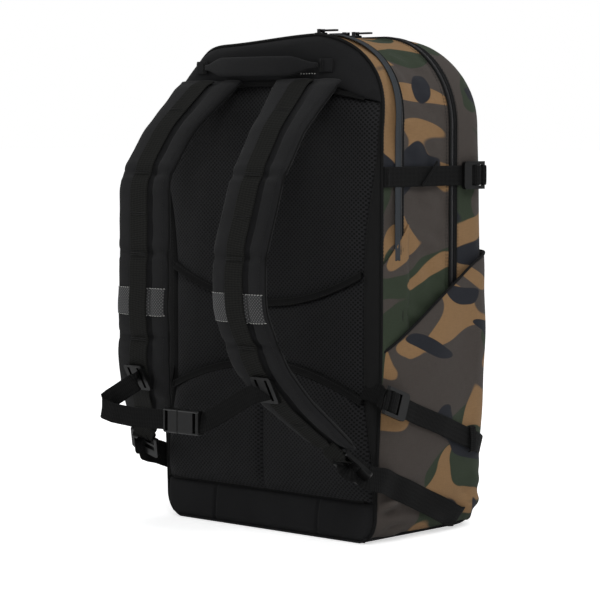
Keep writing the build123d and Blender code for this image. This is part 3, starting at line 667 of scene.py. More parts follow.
def frontSurface():
    rows = cornerRows(filled["coverY"], 9, 15)
    u, v = np.broadcast_arrays(around[None, :], rows[:, None])
    waves = 0.6 + 0.6 * ripples(u, v, 80 * mm, 21)
    edge = skin(u, v, -0.9 * mm * smooth(0, 6 * mm, v - filled["coverY"]) * waves)
    shrink = np.linspace(1, 0, frontCloth["rings"])[1:, None, None]
    middle = np.array([0, body["frontY"], body["bootZ"]])
    rim = skin(around, np.full_like(around, body["frontY"]))
    flat = middle + (rim[None] - middle) * shrink
    flat[..., 1] = 0
    inside = 1 - np.abs(shrink[..., 0] - 0.55) / 0.45
    tall = np.sin(np.clip(flat[..., 2] / body["top"], 0, 1) * math.pi) ** 0.5
    hill = smooth(0, 1, np.clip(inside, 0, 1)) * tall
    up = smooth(0.26, 0.42, flat[..., 2])
    depth = body["frontY"] - filled["lean"] * (body["frontY"] - filled["coverY"]) * up
    waves = 0.7 * mm * ripples(flat[..., 0], flat[..., 2], 75 * mm, 23) * hill
    flat[..., 1] = depth + frontCloth["puff"] * hill * up + waves
    uv = np.concatenate([np.stack([u, v], -1), flat[..., [0, 2]]])
    return np.concatenate([edge, flat]), uv


points, uv = frontSurface()
front = thicken(sheetPiece("frontCloth", points, uv, packMiddle), frontCloth["thick"], lining=1)
frontNodes = ["front_cover", "front_lower_panel"]
dress(front, None, [skins["camoFront"], skins["lining"]], frontNodes)
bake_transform(front)

# The main zip's two tapes: the rear one stays, and the front one bends with the cover.
zipOnSkin("mainZipRear", 22.6 * mm, float(alongAt(200 * mm)), 2.6 * mm, ["main_zip_rear"])
v = np.linspace(-1, 1, 9)
lift = 0.5 * mm + 0.7 * mm * bell(np.abs(v), 0.7, 0.2)[:, None]
points, uv = panelGrid(np.linspace(-bottom, bottom, 600), 28.2 * mm + v * 3.1 * mm, lift)
tape = thicken(sheetPiece("mainZipFront", points, uv, packMiddle), zipper["tape"])
dress(tape, None, [skins["tape"]], ["main_zip_front"])
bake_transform(tape)
print("front ready")


# The boot: skin below its seam on both sides and the front, then the flat base.
boot = {
    "seam": 6 * mm, "band": 41 * mm, "thick": 3.3 * mm, "swell": 1.6 * mm, "cloth": 2 * mm,
    "seamsX": (-72 * mm, 70 * mm),
}


def bootSurface():
    low = float(alongAt(0))
    side = np.linspace(bottom, low, 12)
    floor = np.linspace(1, -1, 49)[1:-1]
    rows = cornerRows(-88 * mm, 20, 12)
    right = skin(side[None, :], rows[:, None], 0.6 * mm)
    left = skin(-side[None, ::-1], rows[:, None], 0.6 * mm)
    across = right[:, -1:, :] * np.stack([floor, 1 + 0 * floor, 1 + 0 * floor], -1)[None]
    points = np.concatenate([right, across, left], 1)
    points[..., 2] = np.maximum(points[..., 2], 0.2 * mm)
    return points, stacked(lengths(points[5])[None, :], rows[:, None])


points, uv = bootSurface()
bootPiece = thicken(sheetPiece("bootCloth", points, uv, (0, 5 * mm, 60 * mm)), boot["cloth"])
dress(bootPiece, "pack", [skins["black"]], ["base_boot"])

# Its closing strip across the front foot, from corner to corner.
x = np.linspace(-1, 1, 60)
z = np.linspace(0.3 * mm, boot["seam"], 6)
reach = float(skin(bottom, body["frontY"])[0])
points = stacked(x[None, :] * reach, body["frontY"] + 0.4 * mm, z[:, None])
strip = thicken(sheetPiece("bootFront", points, points[..., [0, 2]], packMiddle), boot["cloth"])
dress(strip, "pack", [skins["black"]])


# Half the width of the back panel at this height, inside the harness seam.
def halfWidth(z):
    return np.abs(skin(alongAt(z), body["seamY"])[..., 0])


# Height of the arcs where the pads meet, x being the place across the back.
padHalf = 130 * mm
arcs = {
    "boot": lambda x: 41.3 * mm + 0 * x,
    "lumbar": lambda x: 140 * mm + 31 * mm * (1 - (x / padHalf) ** 2),
    "upper": lambda x: 266 * mm - 33 * mm * (1 - (x / padHalf) ** 2),
    "yoke": lambda x: 433 * mm + 19 * mm * (1 - (x / padHalf) ** 2),
}


# Half the width of the pads, which draw in at the waist of the panel.
waist = {"gap": 3 * mm, "in": 18 * mm, "z": 225 * mm, "reach": 125 * mm}


def padSide(z):
    drawn = waist["in"] * np.exp(-(((z - waist["z"]) / waist["reach"]) ** 4))
    return halfWidth(z) - waist["gap"] - drawn


# Each pad bulges between its seams by a power of the distance to them, and channels are
# sewn into it where cut is deep.
pads = {
    "mesh_pad_upper": {"low": "upper", "high": "yoke", "bulge": 9.5 * mm, "seam": 0},
    "mesh_pad_middle": {"low": "lumbar", "high": "upper", "bulge": 8.5 * mm, "seam": 0},
    "mesh_pad_lower": {"low": "boot", "high": "lumbar", "bulge": 14.5 * mm, "seam": 1},
}
panelY = {"face": -85.2 * mm, "back": -84.8 * mm}


# Places from -1 to 1, closer together towards both ends.
def crowded(count, share):
    return np.sin(np.linspace(-1, 1, count) * turn / 4 * share) / math.sin(turn / 4 * share)


def padPiece(name, low, high, bulge, seam):
    u = crowded(141, 0.96)[None, :]
    v = crowded(91, 0.96)[:, None]
    bottomZ, topZ = arcs[low](u * padHalf), arcs[high](u * padHalf)
    z = bottomZ + (topZ - bottomZ) * (v + 1) / 2
    x = u * padSide(z)
    near = 1 - np.exp(-np.clip(1 - np.abs(u), 0, 1) * padHalf / (13 * mm))
    far = 1 - np.exp(-np.minimum(z - bottomZ, topZ - z) / (11 * mm))
    height = bulge * np.sqrt(np.clip(near * far, 0, 1))
    height = height + 0.5 * mm * ripples(x, z, 60 * mm, 31) * near * far
    height = height - seam * far * (4.5 * mm * bell(x, 0, 3.2 * mm) + 2.0 * mm * bell(x, 0, 14 * mm))
    shift = filled["back"] * recede(x, z) * np.abs(u) ** 6
    points = np.stack([x, panelY["face"] - height + shift, z], -1)
    piece = flatBacked(name + "_cloth", points, panelY["back"] + shift, (0, -50 * mm, 250 * mm), 1.15)
    dress(piece, "pack", [skins["mesh"]], [name])


for name, facts in pads.items():
    padPiece(name, **facts)


# The border: a narrow padded strip from the pads out to the harness seam.
border = {"bulge": 4.2 * mm, "low": 41.5 * mm, "high": 437 * mm}
for side, label in bothSides:
    z = np.linspace(border["low"], border["high"], 200)[:, None]
    v = np.linspace(0, 1, 21)[None, :]
    inner = padSide(z) - 1.2 * mm
    wide = halfWidth(z) + 0.2 * mm - inner
    x = inner + wide * v
    taper = 0.85 + 0.15 * smooth(0, 8 * mm, border["high"] - z)
    swell = np.sin(v * math.pi) ** 0.45
    height = border["bulge"] * swell * smooth(0, 12 * mm, wide) * taper
    height = height + 0.35 * mm * ripples(z, x, 45 * mm, 40 + side) * swell
    shift = filled["back"] * recede(x, z)
    points = stacked(side * x, -85.3 * mm - height + shift, z)
    piece = flatBacked("border" + label, points, -84.9 * mm + shift, (side * 140 * mm, -80 * mm, 250 * mm))
    dress(piece, "pack", [skins["border"]], ["back_border"])

# Binding tape over the two seams between pads, and stitches down both edges of the pads.
for key, y in (("lumbar", -90.6 * mm), ("upper", -90.2 * mm)):
    x = np.linspace(-padHalf + 1 * mm, padHalf - 1 * mm, 180)
    z = arcs[key](x)
    arched = 1.4 * mm * np.sqrt(np.clip(1 - (x / padHalf) ** 2, 0, 1))
    line = np.stack([x * padSide(z) / padHalf, y - arched, z], 1)
    tapePiece = ribbon(key + "Binding", line, (0, 0.35, 1), 8.5 * mm, 2.4 * mm, 0.9 * mm)
    dress(tapePiece, "pack", [skins["binding"]], ["panel_bindings"])
    for edge in (-1, 1):
        row = line + np.array([0, -1.9 * mm, edge * 3.0 * mm])
        sewing = stitches(key + "Stitch", row, (0, 0, 1), radius=0.25 * mm)
        dress(sewing, "pack", [skins["thread"]])
for side, label in bothSides:
    z = np.linspace(60 * mm, 340 * mm, 160)
    row = stacked(side * (padSide(z) + 3.2 * mm), -89.4 * mm, z)
    sewing = stitches("borderStitch", row, (1, 0, 0), radius=0.25 * mm)
    dress(sewing, "pack", [skins["thread"]])

# The yoke: from the arc above the upper pad to the harness seam over the shoulders.
yoke = {"bulge": 7.6 * mm, "edge": 7 * mm, "z": 435 * mm, "dent": 1.8 * mm}
handle = {"y": -96.7 * mm, "z": 470 * mm, "half": 76 * mm, "bow": 12.8 * mm, "wide": 19 * mm}
u = crowded(161, 0.9)
v = np.linspace(0, 1, 61)[:, None]
low = stacked(u * halfWidth(yoke["z"]), 0, arcs["yoke"](u * padHalf))
high = skin(u * float(alongAt(yoke["z"] - 1 * mm)), body["seamY"])
flat = low[None] * (1 - v[..., None]) + high[None] * v[..., None]
x, z = flat[..., 0], flat[..., 2]
gap = np.linalg.norm(high - low, axis=1)[None, :] * np.minimum(v, 1 - v)
height = yoke["bulge"] * (1 - np.exp(-gap / yoke["edge"]))
height = height + 0.4 * mm * ripples(x, z, 80 * mm, 51) * smooth(0, 20 * mm, gap)
height = height * (1 - 0.6 * smooth(110 * mm, 142 * mm, np.abs(x)))
sewn = bell(np.abs(x), handle["half"], 12 * mm) * bell(z, handle["z"], 9 * mm)
height = height - yoke["dent"] * sewn
outward = np.maximum(v**1.5, smooth(126 * mm, 146 * mm, np.abs(x)))
shift = filled["back"] * recede(x, z) * outward
points = np.stack([x, panelY["face"] - height + shift, z], -1)
yokePiece = flatBacked("yokeCloth", points, panelY["back"] + shift, (0, -60 * mm, 460 * mm))
dress(yokePiece, "pack", [skins["black"]], ["yoke_panel"])

# The band of the boot across the back, with its two upright seams.
u = np.linspace(-1, 1, 181)[None, :]
z = np.linspace(0.6 * mm, boot["band"], 31)[:, None]
x = u * (halfWidth(np.maximum(z, 3 * mm)) - 0.3 * mm)
rise = smooth(0, 7 * mm, z) * smooth(-0.5 * mm, 4 * mm, boot["band"] - z)
swell = boot["swell"] * np.sin(np.clip(z / boot["band"], 0, 1) * math.pi)
height = (boot["thick"] + swell) * rise * smooth(0, 0.03, 1 - np.abs(u))
for place in boot["seamsX"]:
    leaning = place + 3 * mm * (z / boot["band"] - 0.5)
    height = height - 2.1 * mm * bell(x, leaning, 1.5 * mm) * rise
height = height + 0.4 * mm * ripples(x, z, 50 * mm, 61) * rise
points = stacked(x, -85.6 * mm - height, z)
band = flatBacked("bootBand", points, -85 * mm, (0, -60 * mm, 20 * mm))
dress(band, "pack", [skins["black"]])


# Piping: a round cord along a line.
def pipingAlong(name, line, radius, bodyName):
    side, face = alongLine(line, (0.1, 1, 0.05))[1:]
    angle = np.arange(10)[:, None] * turn / 10
    rings = line[:, None] + radius * (side[:, None] * np.cos(angle) + face[:, None] * np.sin(angle))
    piece = tubePiece(name, rings, stacked(angle[:, 0] * radius, lengths(line)[:, None]))
    dress(piece, bodyName, [skins["binding"]])


pipingAlong("seamPiping", skin(around, -86 * mm, 0.6 * mm), 1.7 * mm, "pack")

# A flap lies along the rear edge of the laptop zip. Its pale grey tone is a painted sheen.
reach = np.linspace(-zipEnd - 6 * mm, zipEnd + 6 * mm, 400)
flap = ribbon("zipFlap", skin(reach, -62.6 * mm, 1.5 * mm), (0, 1, 0), 7.6 * mm, 1.5 * mm, 0.6 * mm)
dress(flap, "pack", [skins["grey"]])

# Below the zip's end, a lower side panel laps over it with a curved, turned-under top edge.
lapped = {"edge": [(-86, 274), (-74, 283), (-60, 297), (-44, 315)], "foot": 150 * mm, "thick": 1.3 * mm}


# Distance along the outline of an edge given as (y, z) in millimetres.
def edgeAlong(y, edge):
    places = np.array(edge, float) * mm
    return alongAt(through(y, places[:, 0], places[:, 1]))


for side, label in bothSides:
    y = np.linspace(-85.5 * mm, -44 * mm, 30)[None, :]
    top = edgeAlong(y, lapped["edge"])
    v = np.linspace(0, 1, 60)[:, None]
    along = top + (float(alongAt(lapped["foot"])) - top) * v
    lift = 1.7 * mm * smooth(1.0, 0.75, v) + 0.5 * mm * ripples(along, y, 50 * mm, 15) * smooth(0, 0.1, v)
    points = skin(side * along, y, lift - 1.2 * mm * smooth(-50 * mm, -44 * mm, y))
    cloth = sheetPiece("lappedPanel" + label, points, stacked(along, y), packMiddle)
    thicken(cloth, lapped["thick"], lining=1)
    dress(cloth, "pack", [skins["camoSide"], skins["lining"]])

# Foam core, stiff sheet and divider, which show only when the front is open. Each is the
# pack's outline less an inset, settled as the shell is.
inner = [
    {"node": "back_foam", "material": "foam", "slot": "foam", "inset": 2.4 * mm, "fill": 0.9},
    {"node": "frame_sheet", "material": "sheet", "slot": "stiff_sheet", "inset": 12 * mm, "fill": None},
    {"node": "laptop_divider", "material": "lining", "slot": "black_fabric", "inset": 4.4 * mm, "fill": 0.9},
]
for facts in inner:
    low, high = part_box(facts["node"])
    u = np.linspace(-1, 1, 40)[None, :]
    z = np.linspace(low.z + 1 * mm, high.z - 2 * mm, 80)[:, None]
    spring = body["top"] - body["shoulder"]
    arch = straight + np.sqrt(np.clip(body["shoulder"] ** 2 - (z - spring) ** 2, 0, 1))
    x = u * (np.where(z > spring, arch, body["half"]) - facts["inset"])
    tuft = np.sqrt(np.clip(1 - np.abs(u) ** 30, 0, 1))
    points = settle(stacked(x, high.y - 0.3 * mm * (1 - tuft), z))
    back = settle(stacked(x, low.y + 0.3 * mm, z))
    centre = (0, (low.y + high.y) / 2, 250 * mm)
    piece = cushion(facts["node"] + "_core", points, back, points[..., [0, 2]], centre)
    dress(piece, "pack", [skins[facts["material"]]], [facts["node"]])
print("back panel ready")

pocket = {
    "rear": -84 * mm, "front": 91 * mm, "thick": 1.4 * mm, "open": 5.2 * mm, "belly": 7.5 * mm,
    "edge": [(-84, 190), (-40, 216), (20, 253), (60, 276), (74, 281), (92, 283)],
    # Folds: how deep, how long, the lean of the tucks, and the start of their random draws.
    "slack": 1.7 * mm, "rearTuck": (4.2 * mm, 21 * mm, 0.35, 75), "frontTuck": (3.2 * mm, 19 * mm, -0.3, 85),
}


# Pocket cloth over the skin. It is sewn down at the rear seam, the foot and the front,
# stands open at its slanting top edge, and gathers in soft tucks towards its lower corners.
def pocketSurface(side):
    y = np.linspace(pocket["rear"], pocket["front"], 150)[None, :]
    top = edgeAlong(y, pocket["edge"])
    v = np.linspace(0, 1, 120)[:, None]
    along = top + (bottom - top) * v
    rearGap, frontGap, footGap = y - pocket["rear"], pocket["front"] - y, bottom - along
    hold = (1 - np.exp(-rearGap / (11 * mm))) * (1 - np.exp(-frontGap / (13 * mm)))
    foot = 1 - np.exp(-footGap / (16 * mm))
    full = pocket["open"] + (pocket["belly"] - pocket["open"]) * np.sin(v * math.pi)
    waves = pocket["slack"] * ripples(along, y, 85 * mm, 70 + side) * smooth(0, 0.12, v)
    lift = 0.9 * mm + (full + waves) * hold * foot
    rearCorner = bell(rearGap, 22 * mm, 30 * mm) * bell(footGap, 30 * mm, 30 * mm)
    frontCorner = bell(frontGap, 20 * mm, 26 * mm) * bell(footGap, 24 * mm, 30 * mm)
    for corner, key in ((rearCorner, "rearTuck"), (frontCorner, "frontTuck")):
        deep, long, lean, seed = pocket[key]
        lift = lift + deep * corner * ripples(along, y, long, seed + side, lean=lean) * hold
    return skin(side * along, y, lift), stacked(along, y)


for side, label in bothSides:
    points, uv = pocketSurface(side)
    cloth = sheetPiece("sidePocket" + label, points, uv, packMiddle)
    thicken(cloth, pocket["thick"], lining=1)
    node = "side_pocket_" + label.lower()
    dress(cloth, "pack", [skins["camoPocket"], skins["lining"]], [node])
    down = unit(points[3, 70] - points[0, 70])
    rim = ribbon("pocketEdge" + label, evenly(points[0], 2 * mm), down, 2.6 * mm, 1.9 * mm, 0.2 * mm)
    dress(rim, "pack", [skins["binding"]])

# The front pocket: a low box of cloth whose depth rounds off towards its four seams.
frontPocket = {
    "half": 98 * mm, "middle": 166 * mm, "halfHigh": 96 * mm, "depth": 14.6 * mm, "round": 6.5 * mm,
}
u, v = np.meshgrid(np.linspace(-1, 1, 121), np.linspace(-1, 1, 121))
x = u * frontPocket["half"]
z = frontPocket["middle"] + v * frontPocket["halfHigh"]
edgeGap = np.minimum((1 - np.abs(u)) * frontPocket["half"], (1 - np.abs(v)) * frontPocket["halfHigh"])
height = frontPocket["depth"] * (1 - np.exp(-edgeGap / frontPocket["round"]))
height = height + 0.6 * mm * ripples(x, z, 60 * mm, 91) * smooth(0, 30 * mm, edgeGap)
points = np.stack([x * np.sqrt(1 - 0.16 * v**8), body["frontY"] + 0.4 * mm + height, z], -1)
pocketCloth = sheetPiece("frontPocketCloth", points, np.stack([x, z], -1), packMiddle)
thicken(pocketCloth, pocket["thick"], lining=1)
dress(pocketCloth, "pack", [skins["camoPocket"], skins["lining"]], ["front_pocket"])
line = stacked(np.linspace(-88 * mm, 88 * mm, 160), 111 * mm, 248 * mm)
zipTape = ribbon("pocketZipTape", line, (0, 0, 1), 9 * mm, 1.4 * mm, 0.2 * mm)
dress(zipTape, "pack", [skins["tape"]], ["front_pocket_zip"])
print("pockets ready")

# The strap's middle line seen from the side, as (y, z), and from the back, as height,
# place across and width. They are those of its CAD solid.
strap = {
    "side": [
        (-98.8, 455), (-152, 405), (-184, 359), (-196.5, 283), (-196.5, 232), (-183, 178),
        (-164, 144), (-138, 113), (-128, 101),
    ],
    "front": [
        (468, 66, 90), (425, 72, 72), (361, 76, 68), (283, 66, 68), (237, 67, 67), (180, 81, 66),
        (144, 100, 58), (113, 123, 46), (97, 135, 38),
    ],
    "thick": 13 * mm, "bend": 55 * mm, "web": 24 * mm, "tacks": (361 * mm, 283 * mm, 200 * mm),
    "lighterTacks": (420 * mm, 322 * mm, 128 * mm), "band": (250 * mm, 224 * mm), "channel": 14.2 * mm,
}


def strapEdges():
    data = np.array(strap["front"], float) * mm
    z, x, width = data.T
    place = np.arange(len(z))
    before, after = np.maximum(place - 1, 0), np.minimum(place + 1, len(z) - 1)
    dx, dz = x[after] - x[before], z[after] - z[before]
    run = np.hypot(dx, dz)
    return [(x - side * width / 2 * dz / run, z + side * width / 2 * dx / run) for side in (-1, 1)]


edges = strapEdges()
strapLine = rounded(np.array(strap["side"]) * mm, strap["bend"], 2 * mm)
strapWay = unit(np.gradient(strapLine, axis=0))
strapOut = np.stack([strapWay[:, 1], -strapWay[:, 0]], 1)
strapRun = lengths(strapLine)


def edgeAt(z, which):
    x, height = edges[which]
    return through(z, height[::-1], x[::-1])


# A point on a strap: its station along the line, place across in metres, and distance out
# from the middle line.
def strapPoint(station, across, out):
    y, z = [np.interp(station, strapRun, strapLine[:, axis]) for axis in (0, 1)]
    outY, outZ = [np.interp(station, strapRun, strapOut[:, axis]) for axis in (0, 1)]
    return stacked(across, y + outY * out, z + outZ * out)


def stationAt(z):
    return float(np.interp(-z, -strapLine[:, 1], strapRun))


def middleAt(station):
    z = np.interp(station, strapRun, strapLine[:, 1])
    return (edgeAt(z, 0) + edgeAt(z, 1)) / 2


# The padded strap: rings of a flattened superellipse, with a sewn channel beside the
# webbing, a dimple under each bar tack and soft creases beside it.
def strapPiece(side, name):
    station = np.linspace(0, strapRun[-1], 300)
    z = np.interp(station, strapRun, strapLine[:, 1])
    inner, outer = edgeAt(z, 0), edgeAt(z, 1)
    middle, half = (inner + outer) / 2, np.abs(outer - inner) / 2
    angle = np.linspace(0, turn, 73)[:-1]
    w = np.sign(np.cos(angle)) * np.abs(np.cos(angle)) ** 0.5
    h = np.sign(np.sin(angle)) * np.abs(np.sin(angle)) ** 0.62
    root = 0.42 + 0.58 * smooth(0, 16 * mm, station)
    tip = 0.5 + 0.5 * smooth(0, 10 * mm, strapRun[-1] - station)
    thick = strap["thick"] / 2 * root * tip
    for height in strap["tacks"]:
        pinch = bell(station, stationAt(height), 5 * mm)
        thick = thick * (1 - 0.22 * pinch)
        half = half - 1.6 * mm * pinch
    across = w[None, :] * half[:, None]
    out = h[None, :] * thick[:, None]
    outerFace = np.clip(h, 0, 1)[None, :]
    seam = strap["channel"] * side
    channel = 2.4 * mm * bell(across, seam, 1.3 * mm) + 0.9 * mm * bell(across, seam, 6 * mm)
    creases = ripples(station[:, None], across, 26 * mm, 100 + side, lean=0.2) * 0.35 * mm
    out = out - outerFace * (channel - creases)
    for height in strap["tacks"]:
        away = station[:, None] - stationAt(height)
        dimple = 1.7 * mm * bell(away, 0, 3.4 * mm) * (0.35 + 0.65 * bell(across, 0, 20 * mm))
        crease = 0.5 * mm * bell(away, 0, 16 * mm) * np.sin(away / (7 * mm) * turn / 2)
        out = out + outerFace * (crease - dimple)
    flip = np.array([side, 1, 1])
    points = strapPoint(station[:, None], middle[:, None] + across, out) * flip
    piece = tubePiece(name + "Body", points, stacked(across + (h[None, :] < 0) * 0.1, station[:, None]))
    dress(piece, name, [skins["strap"]], [name])
    gap = 4 * mm
    level = thick * np.clip(1 - np.clip(1 - gap / half, 0, 1) ** 4, 0, 1) ** 0.31 + 0.1 * mm
    for edge in (inner, outer):
        line = strapPoint(station[4:-3], edge[4:-3], -0.2 * mm) * flip
        pipingAlong(name + "Piping", line, 0.8 * mm, name)
        place = edge + np.sign(middle - edge) * gap
        line = strapPoint(station[8:-6], place[8:-6], level[8:-6]) * flip
        row = stitches(name + "Stitch", line, (1, 0, 0), radius=0.22 * mm)
        dress(row, name, [skins["thread"]])
    return station, middle, half, thick


# A bar tack: close threads side by side over a strip, in two rows.
tack = {"apart": 1.9 * mm, "pitch": 0.95 * mm, "length": 0.8 * mm, "radius": 0.45 * mm}


def barTack(name, centre, across, along, width, bodyName):
    across, along = unit(np.asarray(across, float)), unit(np.asarray(along, float))
    for row in (-0.5, 0.5):
        middle = np.asarray(centre) + along * row * tack["apart"]
        line = np.stack([middle - across * width / 2, middle + across * width / 2])
        piece = stitches(name, evenly(line, 1 * mm), along, tack["pitch"], tack["length"], tack["radius"])
        dress(piece, bodyName, [skins["thread"]])


# Points in a lock's own frame: a along its length from the bar, b out of its face.
locks = {
    "upper": {"at": (154.5, 68, 361), "along": (0, -1, 0), "out": (1, 0, 0)},
    "lower": {"at": (163.6, -93.52, 146), "along": (0, 0.9397, -0.3420), "out": (1, 0, 0)},
    "shoulder": {
        "at": (136.49, -128.92, 90.08), "along": (0.49923, 0.5547, -0.66564), "out": (0, -0.768, -0.640),
    },
}


def inLock(key, points):
    facts = locks[key]
    at, along, out = np.array(facts["at"]) * mm, np.array(facts["along"]), np.array(facts["out"])
    return [at + along * a * mm + out * b * mm for a, b in points]


# Webbing through a ladder lock: in below it, up by the far slot, over the middle bar and
# down by the near slot.
threading = [(4.2, -4.2), (5.6, 0.0), (6.6, 3.0), (11.0, 3.5), (15.4, 3.0), (16.6, 0.0), (19.5, -3.2)]
loopShape = [(-1.6, 2.7), (1.2, 3.0), (3.2, 0.0), (1.2, -3.0), (-1.6, -2.7), (-9.0, -1.1)]

for side, label in bothSides:
    flip = np.array([side, 1, 1])
    name = "shoulder_strap_" + label.lower()
    station, middle, half, thick = strapPiece(side, name)

    # Daisy webbing down the strap, humped a little between its bar tacks, then round the
    # bar of the lock.
    height = np.interp(station, strapRun, strapLine[:, 1])
    hump = smooth(0, 20 * mm, station) * smooth(0, 25 * mm, station[-1] - station)
    for place in strap["tacks"]:
        hump = hump * (1 - bell(height, place, 9 * mm))
    run = strapPoint(station, middle, thick + 1.3 * mm + 0.9 * mm * hump)[3:-4]
    webLine = evenly(np.concatenate([run, inLock("shoulder", loopShape)]), 1.6 * mm) * flip
    web = ribbon("daisyWeb", webLine, (1, 0, 0), strap["web"], 1.7 * mm, 0.15 * mm)
    dress(web, name, [skins["daisy"]], ["daisy_webbing_" + label.lower()])
    for place in strap["tacks"] + strap["lighterTacks"]:
        at = stationAt(place)
        out = 8.8 * mm if place in strap["tacks"] else 9.6 * mm
        centre = strapPoint(at, float(middleAt(at)), out) * flip
        later = strapPoint(at + 4 * mm, float(middleAt(at)), 9.6 * mm) * flip
        earlier = strapPoint(at - 4 * mm, float(middleAt(at)), 9.6 * mm) * flip
        barTack("strapTack", centre, (1, 0, 0), later - earlier, 21 * mm, name)

    # Reflective tape sewn across the strap under the webbing.
    at = np.linspace(*[stationAt(z) for z in strap["band"]], 16)[:, None]
    halfAt = np.interp(at, station, half)
    across = np.linspace(-1, 1, 49)[None, :] * (halfAt - 1.2 * mm)
    level = strap["thick"] / 2 * np.clip(1 - np.abs(across / halfAt) ** 4, 0, 1) ** 0.31
    level = level - 2.0 * mm * bell(across, strap["channel"] * side, 1.6 * mm) + 0.35 * mm
    points = strapPoint(at, middleAt(at) + across, level) * flip
    band = sheetPiece("reflectiveTape", points, stacked(across, at), (0, -100 * mm, 237 * mm))
    thicken(band, 0.7 * mm, 0.0)
    dress(band, name, [skins["dots"]], ["reflective_band_" + label.lower()])
    for row in (0, -1):
        line = points[row] + np.array([0, -0.5 * mm, 0])
        sewing = stitches("tapeStitch", line, (0, 0, 1), radius=0.25 * mm)
        dress(sewing, name, [skins["pale"]])
print("straps ready")


# The place on the outside of a pocket nearest to (y, z), moved out by gap.
pocketPoints = pocketSurface(1)[0].reshape(-1, 3)
sideWeb = {"wide": 20 * mm, "thick": 1.6 * mm, "upperZ": 361 * mm, "slope": -0.364, "lie": (0, 0.342, 0.94)}


def onPocket(y, z, gap):
    x = []
    for a, b in zip(y, z):
        near = np.argsort((pocketPoints[:, 1] - a) ** 2 + (pocketPoints[:, 2] - b) ** 2)[:6]
        x.append(pocketPoints[near, 0].mean())
    x = np.convolve(np.pad(np.array(x), 6, mode="edge"), np.ones(13) / 13, mode="valid")
    return np.stack([x + gap, y, z], 1)


def webPiece(name, line, lie, wide, thick, crown, bodyName, nodes=()):
    return dress(ribbon(name, line, lie, wide, thick, crown), bodyName, [skins["webbing"]], nodes)


